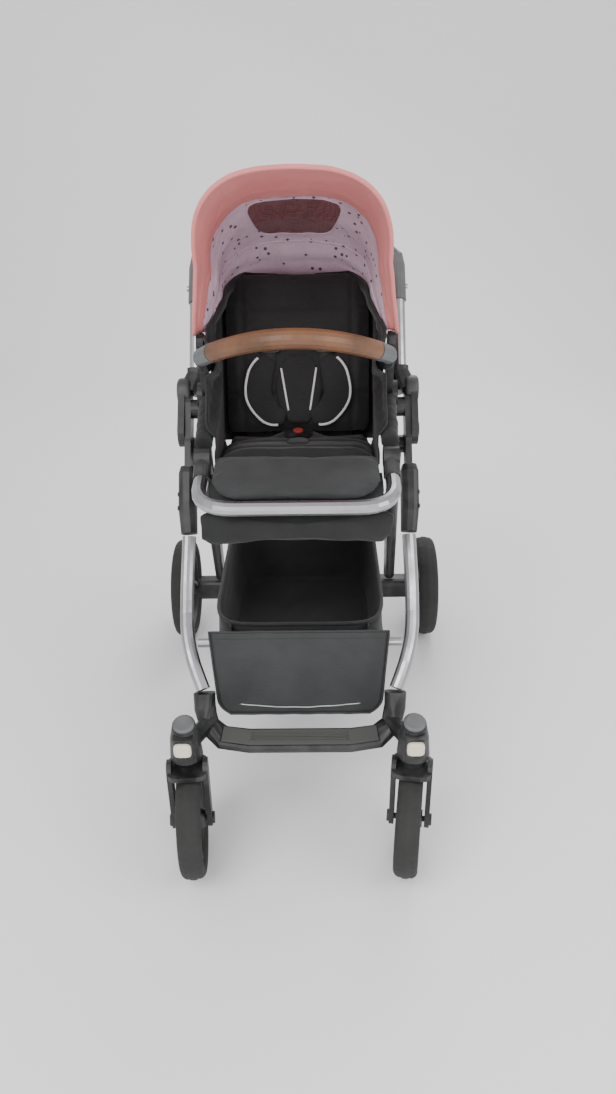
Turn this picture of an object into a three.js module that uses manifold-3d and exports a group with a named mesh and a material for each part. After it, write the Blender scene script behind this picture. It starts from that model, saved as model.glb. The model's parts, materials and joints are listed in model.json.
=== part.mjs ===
// A four-wheeled folding baby stroller. Millimetres: X across, Y front to back, Z up.
// Positions are drawn from a line on the ground just under the front casters. The last
// group shifts them so that the origin is under the middle of the bounding box.
import * as THREE from 'three';
import { mergeVertices } from 'three/addons/utils/BufferGeometryUtils.js';
import Module from 'manifold-3d';

const GAP = 0.3;
const CENTRE_SHIFT_Y = -354.65;
const SIDES = [['left', -1], ['right', 1]];
const degrees = THREE.MathUtils.degToRad;

// Casters and wheels
const CASTER = { x: 185, y: 12, lead: 20, forkInner: 25.5, forkOuter: 33.5 };
// The resting turn of each caster; they swivel freely.
const CASTER_YAW = { left: degrees(5), right: degrees(-9) };
const CASTER_CROWN = { front: -40, rear: 16, bottom: 199, top: 209 };
const CASTER_STEM_RADIUS = 22;
const CASTER_ARM = { topY: -12, topZ: 204, topRadius: 17, footRadius: 14, bossRadius: 10, bossProud: 4 };
const FRONT_WHEEL = { radius: 98, width: 40, rimRadius: 76, hubHalf: 24, shaft: 5 };
const REAR_WHEEL = { radius: 116.5, width: 43, rimRadius: 93, hubHalf: 24, shaft: 6, x: 283.5, y: 698 };
const WHEEL_SEGMENTS = 28;
const BORE_CLEARANCE = 0.4;
const TREAD_SHOULDER = 0.62;
const TYRE_SHAPE = { beadInset: 3, wallDrop: 12, crownDrop: 3 };
const RIM = { hubRadius: 16, webRadius: 19, webHalf: 8, edgeHalf: 14 };

// Footplate and front frame
const SLEEVE_TOP = [161, 95, 284];
const TREAD = { halfDepth: 14, halfThick: 1.5, lift: 12.5 };
const FOOTPLATE_HALF_PATH = [SLEEVE_TOP, [160, 83, 262], [153, 67, 237], [130, 54, 222], [85, 50, 217.5]];
const FOOTPLATE_HALF_SIZES = [[18, 18], [19, 17], [20, 12], [21, 10], [21, 10]];
const FOOTPLATE_PITCH = new THREE.Vector3(0, 0.93, 0.36);
const HOUSING = {
  bottom: 215, shoulder: 224, waist: 262, top: 286, tilt: degrees(20),
  foot: 23, radius: 27, waistRadius: 24, topRadius: 19,
};
const CAP_LEVELS = [[GAP, 18, 17], [3.5, 17.5, 16.5], [5.5, 14, 13]];
const HOUSING_PAD = { halfWidth: 16, bottom: 236, top: 277 };
const HOUSING_ARM = { inset: 8, start: [6, 246], end: [154, 68, 243], half: [13, 16] };
const LOCK = { padFront: -16, halfWidth: 14, halfHeight: 13, depth: 7, chamfer: 3, bottom: 246, top: 272 };
const TUBE_RADIUS = 12;
const FRONT_TUBE = [
  [162.5, 97.5, 288.8], [180, 128, 322], [192, 165, 352], [196, 215, 395], [193, 278.4, 484.6],
];
const CROSSBAR = { y: 155, z: 344, radius: 8, halfLength: 174 };

// Fold joint: layers counted outwards along X
const FOLD_PIVOT = { y: 390, z: 637 };
const LEG_PIVOT = { y: 400, z: 605 };
const LAYER = {
  seatHub: [157, 174.7], receiver: [175, 190], leg: [172, 189], plate: [189.3, 200], cover: [200.3, 212],
};
const HOUSING_START = [193, 281.2, 488.4];

const HOUSING_SPINE = [HOUSING_START, [196, 308, 524], [196, 345, 574], [196, 352, 583]];
const HOUSING_SPINE_SIZES = [[14, 15], [16, 20], [16, 24], [13, 20]];
const PLATE = { from: [335, 560], to: [418, 676], radius: 20 };
const PIVOT_LOBE = { from: [376, 622], fromRadius: 18, toRadius: 17 };
const RECEIVER = { y: 410, z: 672, radius: 17 };

// Rear frame
const LEG_FOOT = [200, 696.5, 149.5];
const LEG_KNEE = { back: 23, drop: 35 };
const LEG_TOP = { x: 176.5, y: 402, z: 602, pivotRadius: 16 };
const REAR_AXLE = {
  halfLength: 255, halfDepth: 22, halfHeight: 25, shaftEnd: 300, taperLength: 8, endScale: 0.8,
};
const PEDAL = { clear: 1.3, rise: 8, path: [[0, 0], [24, 4], [40, 3]], sizes: [[30, 6], [38, 6], [34, 4]] };

// Handle
const HANDLE_TUBE = {
  x: 183, from: [183, 458.8, 729.9], to: [183, 529, 830], bore: 10, closedEnd: 5, stem: 9.6, stemLength: 95,
};
const HANDLEBAR = { y: 583, z: 906, radius: 16, halfLength: 148, endRounding: 2, sleeveRadius: 15 };
const HANDLE_BEND = [[0, -16, -23], [-3, -6, -9], [-14, -1, -1]];
const SLEEVE_BEND_RADIUS = 14;
const SLEEVE_END_RADIUS = 13;
const SLEEVE_TO_BAR_GAP = 1.2;
const HUB_SPINE = [[193.5, 433, 695], [187, 445, 710.5], [183, 453.3, 722.1], [183, 458.3, 729.3]];
const HUB_SIZES = [[18.5, 20], [18, 18], [16, 16], [16, 16]];
const HUB_COVER = { to: [433, 695], fromRadius: 27, toRadius: 21 };
const BUTTON = {
  heightRadius: 5, foldRadius: 13, proud: 2.5, sunk: 1.4, body: 4.2, clearance: 0.4, heightAlong: 27.9,
};

// Seat, footrest and bumper bar
const RAIL = { x: 155, radius: 18, rear: [155, 380, 697], front: [155, 277, 656.5] };
const SEAT_HUB = { y: 402.5, z: 701, radius: 22 };
const FOOTREST_PIVOT = { y: 258, z: 642, radius: 17 };
const FOOTREST_BAR = { x: 155, startY: 225, startZ: 620, frontY: 132, frontZ: 612, corner: 62 };
const PAN = { front: 276, rear: 408, frontZ: 622, slope: -0.188, halfWidth: 133, halfThick: 18 };
const BACK = { y: 438, z: 615, lean: degrees(20.3), length: 282, halfWidth: 132, halfThick: 19 };
const CUSHION_STATIONS = [[0, 0.95, 0.5], [0.1, 1, 1], [0.85, 1, 1], [1, 0.97, 0.7]];
const BACK_STATIONS = [[0, 0.94, 0.7], [0.06, 1, 1], [0.86, 1, 1], [0.96, 0.9, 0.9], [1, 0.78, 0.6]];
const SHOULDER_PAD = { route: [[31, 38], [34, 60], [50, 112], [51, 128]], clear: 6, origin: [40, 80] };
const SHOULDER_PAD_SIZES = [[14, 4], [19, 5], [19, 5], [14, 4]];
const CROTCH_PAD = {
  route: [[328, 6], [336, 6.5], [370, 6.5], [376, 6]], sizes: [[14, 3.5], [20, 5], [20, 5], [15, 3.5]],
};
const BUCKLE = { y: 392, clear: 10.5, halfWidth: 24, halfDepth: 13, halfThick: 7 };
const BUCKLE_BUTTON = { radius: 9, from: 5.8, to: 9.2, pocketFloor: 3.4, pocketTop: 12 };
const CUFF = { halfWidth: 13, armRadius: 14, armBack: 3, armDrop: 2 };
const BAR_END_CLEARANCE = 8;
const CALF_PAD = [[150, 619.5, 106, 5], [161, 621.5, 121, 7], [178, 624.7, 132, 7], [196, 628.2, 138, 7],
  [250, 638.5, 138, 7], [261, 640.5, 136, 5]];
const POUCH = {
  path: [[0, 153, 597], [0, 153, 588], [0, 152, 550], [0, 150, 538]],
  sizes: [[146, 8], [158, 11], [156, 10], [142, 6]],
};
const UPRIGHT = { from: 153, to: 165, lowRadius: 18, highRadius: 19 };
const SOCKET = { along: [GAP, 40, 62], sizes: [[15, 15], [14, 15], [9, 11]] };
const BUMPER = {
  x: 150, endY: 310, endZ: 795, frontY: 202, frontZ: 855, radius: 15.5, capRadius: 14,
  lead: 8, capShare: 0.07, seamShare: 0.003,
};
const CANOPY = {
  y: 370, z: 800, foot: 30, splay: 17, thick: 3.5, domeShare: 0.5, squareness: 2.7, steps: 4, domeSteps: 5,
};
const CANOPY_PANELS = [
  { name: 'canopy_rear', from: 27, to: 60, innerFrom: 206, innerTo: 211, halfWidth: 141 },
  { name: 'canopy_mid', from: 58, to: 95, innerFrom: 219, innerTo: 251, halfWidth: 146 },
  { name: 'canopy_front', from: 94, to: 112, innerFrom: 257, innerTo: 302, halfWidth: 151 },
];

// Basket
const BASKET = {
  front: 168, rear: 640, floor: 178, frontTop: 372, rearTop: 360, half: 148, taper: 10, corner: 20, wall: 3,
};
const PANEL = {
  topY: 130, topZ: 385, topHalf: 152, bottomY: 97, bottomZ: 236, bottomHalf: 138, halfThick: 1.6,
};
const PANEL_WIDTHS = [[0, 0.86], [0.07, 0.96], [0.18, 1], [1, 1]];

const LOOKS = {
  black: { color: 0x1b1b1c, roughness: 0.55, metalness: 0 },
  silver: { color: 0xbfbfc1, roughness: 0.32, metalness: 0.9 },
  greyPlastic: { color: 0x737372, roughness: 0.5, metalness: 0 },
  cream: { color: 0xd9d1b8, roughness: 0.45, metalness: 0 },
  tread: { color: 0x666661, roughness: 0.85, metalness: 0 },
  tyre: { color: 0x403d3a, roughness: 0.9, metalness: 0 },
  leather: { color: 0x8c6142, roughness: 0.55, metalness: 0 },
  canopyPink: { color: 0xd98f87, roughness: 0.9, metalness: 0 },
  darkFabric: { color: 0x242526, roughness: 0.95, metalness: 0 },
  greyFabric: { color: 0x666b69, roughness: 0.95, metalness: 0 },
  panelFabric: { color: 0x333838, roughness: 0.9, metalness: 0 },
  red: { color: 0xa33a34, roughness: 0.45, metalness: 0 },
};

const wasm = await Module();
wasm.setup();

// ---------- Geometry helpers ----------

const X_AXIS = new THREE.Vector3(1, 0, 0);
const Y_AXIS = new THREE.Vector3(0, 1, 0);
const Z_AXIS = new THREE.Vector3(0, 0, 1);
const LINK_SEGMENTS = 4;

const vector = (point) => new THREE.Vector3(...point);
const mirrored = (point, side) => [side * point[0], point[1], point[2]];

function signedVolume(positions, index) {
  let volume = 0;
  for (let i = 0; i < index.length; i += 3) {
    const [a, b, c] = [0, 1, 2].map((k) => new THREE.Vector3().fromArray(positions, 3 * index[i + k]));
    volume += a.dot(b.cross(c));
  }
  return volume;
}

function solid(positions, index) {
  const outward = signedVolume(positions, index) > 0 ? index : index.slice().reverse();
  const geometry = new THREE.BufferGeometry();
  geometry.setAttribute('position', new THREE.Float32BufferAttribute(positions, 3));
  geometry.setIndex(outward);
  return geometry;
}

// A closed solid through convex rings with equal point counts, ended with fans.
function loft(rings) {
  const count = rings[0].length;
  const positions = rings.flat().flatMap((point) => point.toArray());
  const index = [];
  for (let i = 0; i + 1 < rings.length; i += 1) {
    for (let j = 0; j < count; j += 1) {
      const a = i * count + j;
      const b = i * count + ((j + 1) % count);
      index.push(a, b, b + count, a, b + count, a + count);
    }
  }
  const last = (rings.length - 1) * count;
  const middle = (ring) => ring.reduce((sum, p) => sum.add(p), new THREE.Vector3()).divideScalar(count);
  positions.push(...middle(rings[0]).toArray(), ...middle(rings.at(-1)).toArray());
  const hub = rings.length * count;
  for (let j = 0; j < count; j += 1) {
    const next = (j + 1) % count;
    index.push(next, j, hub, last + j, last + next, hub + 1);
  }
  return solid(positions, index);
}

// A ring of points on a superellipse; a higher squareness gives squarer corners.
function section(centre, across, up, halfAcross, halfUp, sides = 12, squareness = 2) {
  const power = 2 / squareness;
  return Array.from({ length: sides }, (_, i) => {
    const angle = ((i + 0.5) / sides) * 2 * Math.PI;
    const u = Math.sign(Math.cos(angle)) * Math.abs(Math.cos(angle)) ** power * halfAcross;
    const v = Math.sign(Math.sin(angle)) * Math.abs(Math.sin(angle)) ** power * halfUp;
    return centre.clone().addScaledVector(across, u).addScaledVector(up, v);
  });
}

// Sweeps a section along points. sizes is one [across, up] pair, or one pair per point.
// lift moves the section along its own up direction.
function sweep(points, sizes, { sides = 12, squareness = 2, reference = X_AXIS, lift = 0 } = {}) {
  const path = points.map((point) => (point.isVector3 ? point : vector(point)));
  const rings = path.map((centre, i) => {
    const tangent = path[Math.min(i + 1, path.length - 1)].clone().sub(path[Math.max(i - 1, 0)]).normalize();
    const across = reference.clone().addScaledVector(tangent, -reference.dot(tangent)).normalize();
    const up = tangent.clone().cross(across);
    const [halfAcross, halfUp] = Array.isArray(sizes[0]) ? sizes[i] : sizes;
    const middle = centre.clone().addScaledVector(up, lift);
    return section(middle, across, up, halfAcross, halfUp, sides, squareness);
  });
  return loft(rings);
}

// Points of a superellipse centred on the origin.
function roundedSquare(halfAcross, halfUp, sides, squareness) {
  const ring = section(new THREE.Vector3(), X_AXIS, Y_AXIS, halfAcross, halfUp, sides, squareness);
  return new THREE.Shape(ring.map(({ x, y }) => new THREE.Vector2(x, y)));
}

// An upright block with rounded corners.
function block(low, high, squareness = 8, sides = 16) {
  const [acrossX, acrossY, depth] = [0, 1, 2].map((k) => high[k] - low[k]);
  const outline = roundedSquare(acrossX / 2, acrossY / 2, sides, squareness);
  const geometry = new THREE.ExtrudeGeometry(outline, { depth, bevelEnabled: false });
  return plain(geometry.translate((low[0] + high[0]) / 2, (low[1] + high[1]) / 2, low[2]));
}

// A flat link between two round ends, lying in the YZ plane from x0 to x1.
function link(from, to, fromRadius, toRadius, [x0, x1], side) {
  const heading = Math.atan2(to[1] - from[1], to[0] - from[0]);
  const quarter = Math.PI / 2;
  const outline = new THREE.Shape();
  outline.absarc(...to, toRadius, heading - quarter, heading + quarter);
  outline.absarc(...from, fromRadius, heading + quarter, heading + 3 * quarter);
  const options = { depth: x1 - x0, bevelEnabled: false, curveSegments: LINK_SEGMENTS };
  const flat = new THREE.ExtrudeGeometry(outline, options);
  flat.applyMatrix4(new THREE.Matrix4().makeBasis(Y_AXIS, Z_AXIS, X_AXIS));
  return plain(flat.translate(Math.min(side * x0, side * x1), 0, 0));
}

function discAlongX([x0, x1], y, z, radius, side, sides = 20) {
  const cylinder = new THREE.CylinderGeometry(radius, radius, x1 - x0, sides).rotateZ(Math.PI / 2);
  return plain(cylinder.translate((side * (x0 + x1)) / 2, y, z));
}

// A round rod along a curve.
function rod(curve, radius, steps, sides = 14) {
  const circle = roundedSquare(radius, radius, sides, 2);
  return plain(new THREE.ExtrudeGeometry(circle, { extrudePath: curve, steps, curveSegments: 1 }));
}

function straightRod(from, to, radius, sides = 16) {
  const ends = [from, to].map((point) => (point.isVector3 ? point : vector(point)));
  return rod(new THREE.LineCurve3(...ends), radius, 1, sides);
}

function curvedRod(points, radius, steps, sides = 14) {
  return rod(new THREE.CatmullRomCurve3(points.map(vector), false, 'centripetal'), radius, steps, sides);
}

// A thin closed wall between two matching grids of points.
function wall(outer, inner) {
  const rows = outer.length;
  const columns = outer[0].length;
  const positions = [outer, inner].flat(2).flatMap((point) => point.toArray());
  const at = (layer, i, j) => layer * rows * columns + i * columns + j;
  const index = [];
  const quad = (a, b, c, d) => index.push(a, b, c, a, c, d);
  for (let i = 0; i + 1 < rows; i += 1) {
    for (let j = 0; j + 1 < columns; j += 1) {
      quad(at(0, i, j), at(0, i, j + 1), at(0, i + 1, j + 1), at(0, i + 1, j));
      quad(at(1, i, j), at(1, i + 1, j), at(1, i + 1, j + 1), at(1, i, j + 1));
    }
    quad(at(0, i, 0), at(0, i + 1, 0), at(1, i + 1, 0), at(1, i, 0));
    quad(at(0, i, columns - 1), at(1, i, columns - 1), at(1, i + 1, columns - 1), at(0, i + 1, columns - 1));
  }
  for (let j = 0; j + 1 < columns; j += 1) {
    quad(at(0, 0, j), at(1, 0, j), at(1, 0, j + 1), at(0, 0, j + 1));
    quad(at(0, rows - 1, j), at(0, rows - 1, j + 1), at(1, rows - 1, j + 1), at(1, rows - 1, j));
  }
  return solid(positions, index);
}

function plain(geometry) {
  const bare = geometry.clone();
  bare.deleteAttribute('normal');
  bare.deleteAttribute('uv');
  return mergeVertices(bare, 1e-4);
}

function toManifold(geometry) {
  const bare = plain(geometry);
  const vertProperties = Float32Array.from(bare.attributes.position.array);
  const triVerts = Uint32Array.from(bare.index.array);
  return new wasm.Manifold(new wasm.Mesh({ numProp: 3, vertProperties, triVerts }));
}

function fromManifold(shape) {
  const mesh = shape.getMesh();
  const geometry = new THREE.BufferGeometry();
  geometry.setAttribute('position', new THREE.BufferAttribute(Float32Array.from(mesh.vertProperties), 3));
  geometry.setIndex(new THREE.BufferAttribute(Uint32Array.from(mesh.triVerts), 1));
  return geometry;
}

function join(...geometries) {
  return fromManifold(geometries.map(toManifold).reduce((whole, next) => whole.add(next)));
}

function cut(base, ...tools) {
  return fromManifold(tools.map(toManifold).reduce((rest, tool) => rest.subtract(tool), toManifold(base)));
}

// Turns a closed [radius, along] profile about the X axis.
function turned(profile, segments) {
  const closed = [...profile, profile[0]].map(([radius, along]) => new THREE.Vector2(radius, along));
  return plain(new THREE.LatheGeometry(closed, segments).rotateZ(-Math.PI / 2));
}

function piece(name, geometry, look, origin = [0, 0, 0]) {
  const local = geometry.translate(-origin[0], -origin[1], -origin[2]);
  local.computeVertexNormals();
  const mesh = new THREE.Mesh(local, new THREE.MeshStandardMaterial(LOOKS[look]));
  mesh.name = name;
  mesh.position.set(...origin);
  return mesh;
}

// ---------- Wheels and casters ----------

function tyre({ radius, width, rimRadius }) {
  const half = width / 2;
  const shoulder = half * TREAD_SHOULDER;
  const { beadInset, wallDrop, crownDrop } = TYRE_SHAPE;
  const outline = [
    [rimRadius, -half + beadInset], [radius - wallDrop, -half],
    [radius - crownDrop, -shoulder], [radius, -shoulder / 3],
  ];
  const far = outline.map(([r, along]) => [r, -along]).reverse();
  return turned([...outline, ...far], WHEEL_SEGMENTS);
}

function rim({ rimRadius, hubHalf, shaft }) {
  const edge = rimRadius - GAP;
  const bore = shaft + BORE_CLEARANCE;
  const { hubRadius, webRadius, webHalf, edgeHalf } = RIM;
  const near = [[bore, -hubHalf], [hubRadius, -hubHalf], [webRadius, -webHalf], [edge, -edgeHalf]];
  const far = near.map(([r, along]) => [r, -along]).reverse();
  return turned([...near, ...far], WHEEL_SEGMENTS);
}

function casterFork() {
  const { lead, forkInner, forkOuter } = CASTER;
  const { front, rear, bottom, top } = CASTER_CROWN;
  const { topY, topZ, topRadius, footRadius, bossRadius, bossProud } = CASTER_ARM;
  const axleZ = FRONT_WHEEL.radius;
  const crown = block([-forkOuter, front, bottom], [forkOuter, rear, top], 4);
  const stemLow = [-CASTER_STEM_RADIUS, -CASTER_STEM_RADIUS, top - 1];
  const stem = block(stemLow, [CASTER_STEM_RADIUS, CASTER_STEM_RADIUS, HOUSING.bottom - GAP], 2, 20);
  const shaft = discAlongX([-forkOuter + 1, forkOuter - 1], -lead, axleZ, FRONT_WHEEL.shaft, 1, 12);
  const sides = SIDES.flatMap(([, side]) => [
    link([topY, topZ], [-lead, axleZ], topRadius, footRadius, [forkInner, forkOuter], side),
    discAlongX([forkOuter - 1, forkOuter + bossProud], -lead, axleZ, bossRadius, side, 14),
  ]);
  return join(crown, stem, shaft, ...sides);
}

function caster(label, side) {
  const group = new THREE.Group();
  group.position.set(side * CASTER.x, CASTER.y, 0);
  group.rotation.z = CASTER_YAW[label];
  group.add(piece(`caster_fork_${label}`, casterFork(), 'black'));
  const wheel = new THREE.Group();
  wheel.position.set(0, -CASTER.lead, FRONT_WHEEL.radius);
  wheel.add(piece(`front_tyre_${label}`, tyre(FRONT_WHEEL), 'tyre'));
  wheel.add(piece(`front_rim_${label}`, rim(FRONT_WHEEL), 'greyPlastic'));
  group.add(wheel);
  return group;
}

function rearWheel(label, side) {
  const wheel = new THREE.Group();
  wheel.position.set(side * REAR_WHEEL.x, REAR_WHEEL.y, REAR_WHEEL.radius);
  wheel.add(piece(`rear_tyre_${label}`, tyre(REAR_WHEEL), 'tyre'));
  wheel.add(piece(`rear_rim_${label}`, rim(REAR_WHEEL), 'greyPlastic'));
  return wheel;
}

// ---------- Chassis ----------

// The U of the footplate, from its left end to its right one; first leaves out points at each end.
function footplatePath(first) {
  const half = FOOTPLATE_HALF_PATH.slice(first);
  return [...half.map((point) => mirrored(point, -1)), ...half.toReversed()];
}

function casterHousing(side) {
  const { bottom, shoulder, waist, top, foot, radius, waistRadius, topRadius, tilt } = HOUSING;
  const leaning = new THREE.Vector3(0, Math.cos(tilt), Math.sin(tilt));
  const levels = [
    [bottom, foot, Y_AXIS], [shoulder, radius, Y_AXIS],
    [waist, waistRadius, Y_AXIS], [top, topRadius, leaning],
  ];
  const at = (z) => vector([side * CASTER.x, CASTER.y, z]);
  const barrel = levels.map(([z, r, up]) => section(at(z), X_AXIS, up, r, r, 20));
  const { halfWidth } = HOUSING_PAD;
  const padLow = [-halfWidth, LOCK.padFront, HOUSING_PAD.bottom];
  const pad = block(padLow, [halfWidth, CASTER.y, HOUSING_PAD.top], 6);
  const { inset, start, end, half } = HOUSING_ARM;
  const armStart = [CASTER.x - inset, CASTER.y + start[0], start[1]];
  const route = [armStart, end].map((point) => mirrored(point, side));
  return [loft(barrel), pad.translate(side * CASTER.x, 0, 0), sweep(route, half)];
}

function footplate() {
  const sizes = [...FOOTPLATE_HALF_SIZES, ...FOOTPLATE_HALF_SIZES.toReversed()];
  const bar = sweep(footplatePath(0), sizes, { sides: 16, squareness: 3, reference: FOOTPLATE_PITCH });
  return join(bar, ...SIDES.flatMap(([, side]) => casterHousing(side)));
}

function footplateTread() {
  const { halfDepth, halfThick, lift } = TREAD;
  const flatStart = 3;
  const options = { sides: 12, squareness: 6, reference: FOOTPLATE_PITCH, lift };
  return sweep(footplatePath(flatStart), [halfDepth, halfThick], options);
}

function casterCap(side) {
  const { top, tilt } = HOUSING;
  const along = new THREE.Vector3(0, Math.cos(tilt), Math.sin(tilt));
  const normal = new THREE.Vector3(0, -Math.sin(tilt), Math.cos(tilt));
  const base = vector([side * CASTER.x, CASTER.y, top]);
  const at = (up) => base.clone().addScaledVector(normal, up);
  return loft(CAP_LEVELS.map(([up, a, b]) => section(at(up), X_AXIS, along, a, b, 20)));
}

function swivelLock(side) {
  const { padFront, halfWidth, halfHeight, depth, chamfer, bottom, top } = LOCK;
  const back = padFront - GAP;
  const levels = [[back, 0], [back - depth + chamfer, 0], [back - depth, chamfer]];
  const middle = (bottom + top) / 2;
  return loft(levels.map(([y, inset]) => section(
    vector([side * CASTER.x, y, middle]), X_AXIS, Z_AXIS, halfWidth - inset, halfHeight - inset, 16, 4)));
}

function jointHousing(side) {
  const spine = HOUSING_SPINE.map((point) => mirrored(point, side));
  const grip = sweep(spine, HOUSING_SPINE_SIZES, { sides: 16, squareness: 3 });
  const plate = link(PLATE.from, PLATE.to, PLATE.radius, PLATE.radius, LAYER.plate, side);
  const { from, fromRadius, toRadius } = PIVOT_LOBE;
  const lobe = link(from, [LEG_PIVOT.y, LEG_PIVOT.z], fromRadius, toRadius, LAYER.plate, side);
  const receiver = discAlongX(LAYER.receiver, RECEIVER.y, RECEIVER.z, RECEIVER.radius, side);
  return join(grip, plate, lobe, receiver);
}

// One level of the basket: a rectangle with cut corners. zFront and zRear differ where the rim slopes.
function basketLevel(inset, zFront, zRear) {
  const { corner } = BASKET;
  const [halfX, front, rear] = [BASKET.half - inset, BASKET.front + inset, BASKET.rear - inset];
  const inner = halfX - corner;
  const quarter = [[inner, front], [halfX, front + corner], [halfX, rear - corner], [inner, rear]];
  const ring = [...quarter, ...quarter.toReversed().map(([x, y]) => [-x, y])];
  const height = (y) => zFront + ((zRear - zFront) * (y - front)) / (rear - front);
  return ring.map(([x, y]) => new THREE.Vector3(x, y, height(y)));
}

function basket() {
  const { floor, frontTop, rearTop, taper, wall: thick } = BASKET;
  const tub = (inset, floorLift, rimLift) => loft([
    basketLevel(taper + inset, floor + floorLift, floor + floorLift),
    basketLevel(inset, frontTop + rimLift, rearTop + rimLift),
  ]);
  return cut(tub(0, 0, 0), tub(thick, thick, 1));
}

function basketPanel() {
  const { topY, topZ, topHalf, bottomY, bottomZ, bottomHalf, halfThick } = PANEL;
  const slope = new THREE.Vector3(0, topY - bottomY, topZ - bottomZ).normalize();
  const normal = X_AXIS.clone().cross(slope);
  return loft(PANEL_WIDTHS.map(([t, width]) => {
    const centre = vector([0, bottomY + t * (topY - bottomY), bottomZ + t * (topZ - bottomZ)]);
    const half = (bottomHalf + t * (topHalf - bottomHalf)) * width;
    return section(centre, X_AXIS, normal, half, halfThick, 12, 6);
  }));
}

function chassis() {
  const { y, z, radius, halfLength } = CROSSBAR;
  const group = new THREE.Group();
  group.add(piece('footplate', footplate(), 'black'));
  group.add(piece('footplate_tread', footplateTread(), 'tread'));
  group.add(piece('crossbar', discAlongX([-halfLength, halfLength], 0, 0, radius, 1, 14), 'silver'));
  group.children.at(-1).position.set(0, y, z);
  group.add(piece('basket', basket(), 'darkFabric'));
  group.add(piece('basket_panel', basketPanel(), 'panelFabric'));
  for (const [label, side] of SIDES) {
    const frontTube = curvedRod(FRONT_TUBE.map((point) => mirrored(point, side)), TUBE_RADIUS, 12);
    const x = side * CASTER.x;
    group.add(piece(`caster_cap_${label}`, casterCap(side), 'greyPlastic', [x, CASTER.y, HOUSING.top]));
    group.add(piece(`swivel_lock_${label}`, swivelLock(side), 'cream', [x, LOCK.padFront, LOCK.bottom]));
    group.add(piece(`front_tube_${label}`, frontTube, 'silver'));
    group.add(piece(`joint_housing_${label}`, jointHousing(side), 'black', mirrored(HOUSING_START, side)));
  }
  return group;
}

// ---------- Rear frame ----------

// The leg drops straight from its pivot for a little way, then splays out to the axle.
function rearLeg(side) {
  const { x, y, z, pivotRadius } = LEG_TOP;
  const knee = [x, y + LEG_KNEE.back, z - LEG_KNEE.drop];
  const upper = straightRod(mirrored([x, y, z], side), mirrored(knee, side), TUBE_RADIUS);
  const lower = straightRod(mirrored(knee, side), mirrored(LEG_FOOT, side), TUBE_RADIUS);
  const elbow = new THREE.SphereGeometry(TUBE_RADIUS, 16, 8).translate(...mirrored(knee, side));
  return join(upper, lower, elbow, discAlongX(LAYER.leg, LEG_PIVOT.y, LEG_PIVOT.z, pivotRadius, side));
}

function rearAxle() {
  const { halfLength, halfDepth, halfHeight, shaftEnd, taperLength, endScale } = REAR_AXLE;
  const half = [[halfLength - taperLength, 1], [halfLength, endScale]];
  const ends = [...half.toReversed().map(([x, scale]) => [-x, scale]), ...half];
  const beam = loft(ends.map(([x, scale]) => section(
    vector([x, 0, 0]), Y_AXIS, Z_AXIS, halfDepth * scale, halfHeight * scale, 16, 4)));
  const shaft = discAlongX([-shaftEnd, shaftEnd], 0, 0, REAR_WHEEL.shaft, 1, 14);
  return join(beam, shaft).translate(0, REAR_WHEEL.y, REAR_WHEEL.radius);
}

function brakePedal() {
  const y = REAR_WHEEL.y + REAR_AXLE.halfDepth + PEDAL.clear;
  const z = REAR_WHEEL.radius + PEDAL.rise;
  const path = PEDAL.path.map(([back, up]) => [0, y + back, z + up]);
  return sweep(path, PEDAL.sizes, { sides: 16, squareness: 4 });
}

function rearFrame() {
  const group = new THREE.Group();
  for (const [label, side] of SIDES) {
    const hinge = [side * LEG_TOP.x, LEG_PIVOT.y, LEG_PIVOT.z];
    group.add(piece(`rear_leg_${label}`, rearLeg(side), 'black', hinge));
    group.add(rearWheel(label, side));
  }
  group.add(piece('rear_axle', rearAxle(), 'black', [0, REAR_WHEEL.y, REAR_WHEEL.radius]));
  group.add(piece('brake_pedal', brakePedal(), 'black', [0, REAR_WHEEL.y, REAR_WHEEL.radius]));
  return group;
}

// ---------- Handle ----------

function handleHub(side) {
  const { y, z } = FOLD_PIVOT;
  const cover = link([y, z], HUB_COVER.to, HUB_COVER.fromRadius, HUB_COVER.toRadius, LAYER.cover, side);
  const hub = sweep(HUB_SPINE.map((point) => mirrored(point, side)), HUB_SIZES, { sides: 16, squareness: 3 });
  const face = LAYER.cover[1];
  const pocketRadius = BUTTON.foldRadius + BUTTON.clearance;
  const pocket = discAlongX([face - BUTTON.body, face + BUTTON.body], y, z, pocketRadius, side);
  return cut(join(cover, hub), pocket);
}

const HANDLE_REACH = vector(HANDLE_TUBE.to).sub(vector(HANDLE_TUBE.from)).normalize();

// A point on the handle tube's centre line, at a distance past its upper end.
function pastTubeEnd(side, distance) {
  return vector(mirrored(HANDLE_TUBE.to, side)).addScaledVector(HANDLE_REACH, distance);
}

function handleTube(side) {
  const { from, bore, closedEnd } = HANDLE_TUBE;
  const start = vector(mirrored(from, side));
  const boreStart = start.clone().addScaledVector(HANDLE_REACH, closedEnd);
  const tube = straightRod(start, pastTubeEnd(side, 0), TUBE_RADIUS);
  return cut(tube, straightRod(boreStart, pastTubeEnd(side, 1), bore));
}

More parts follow.
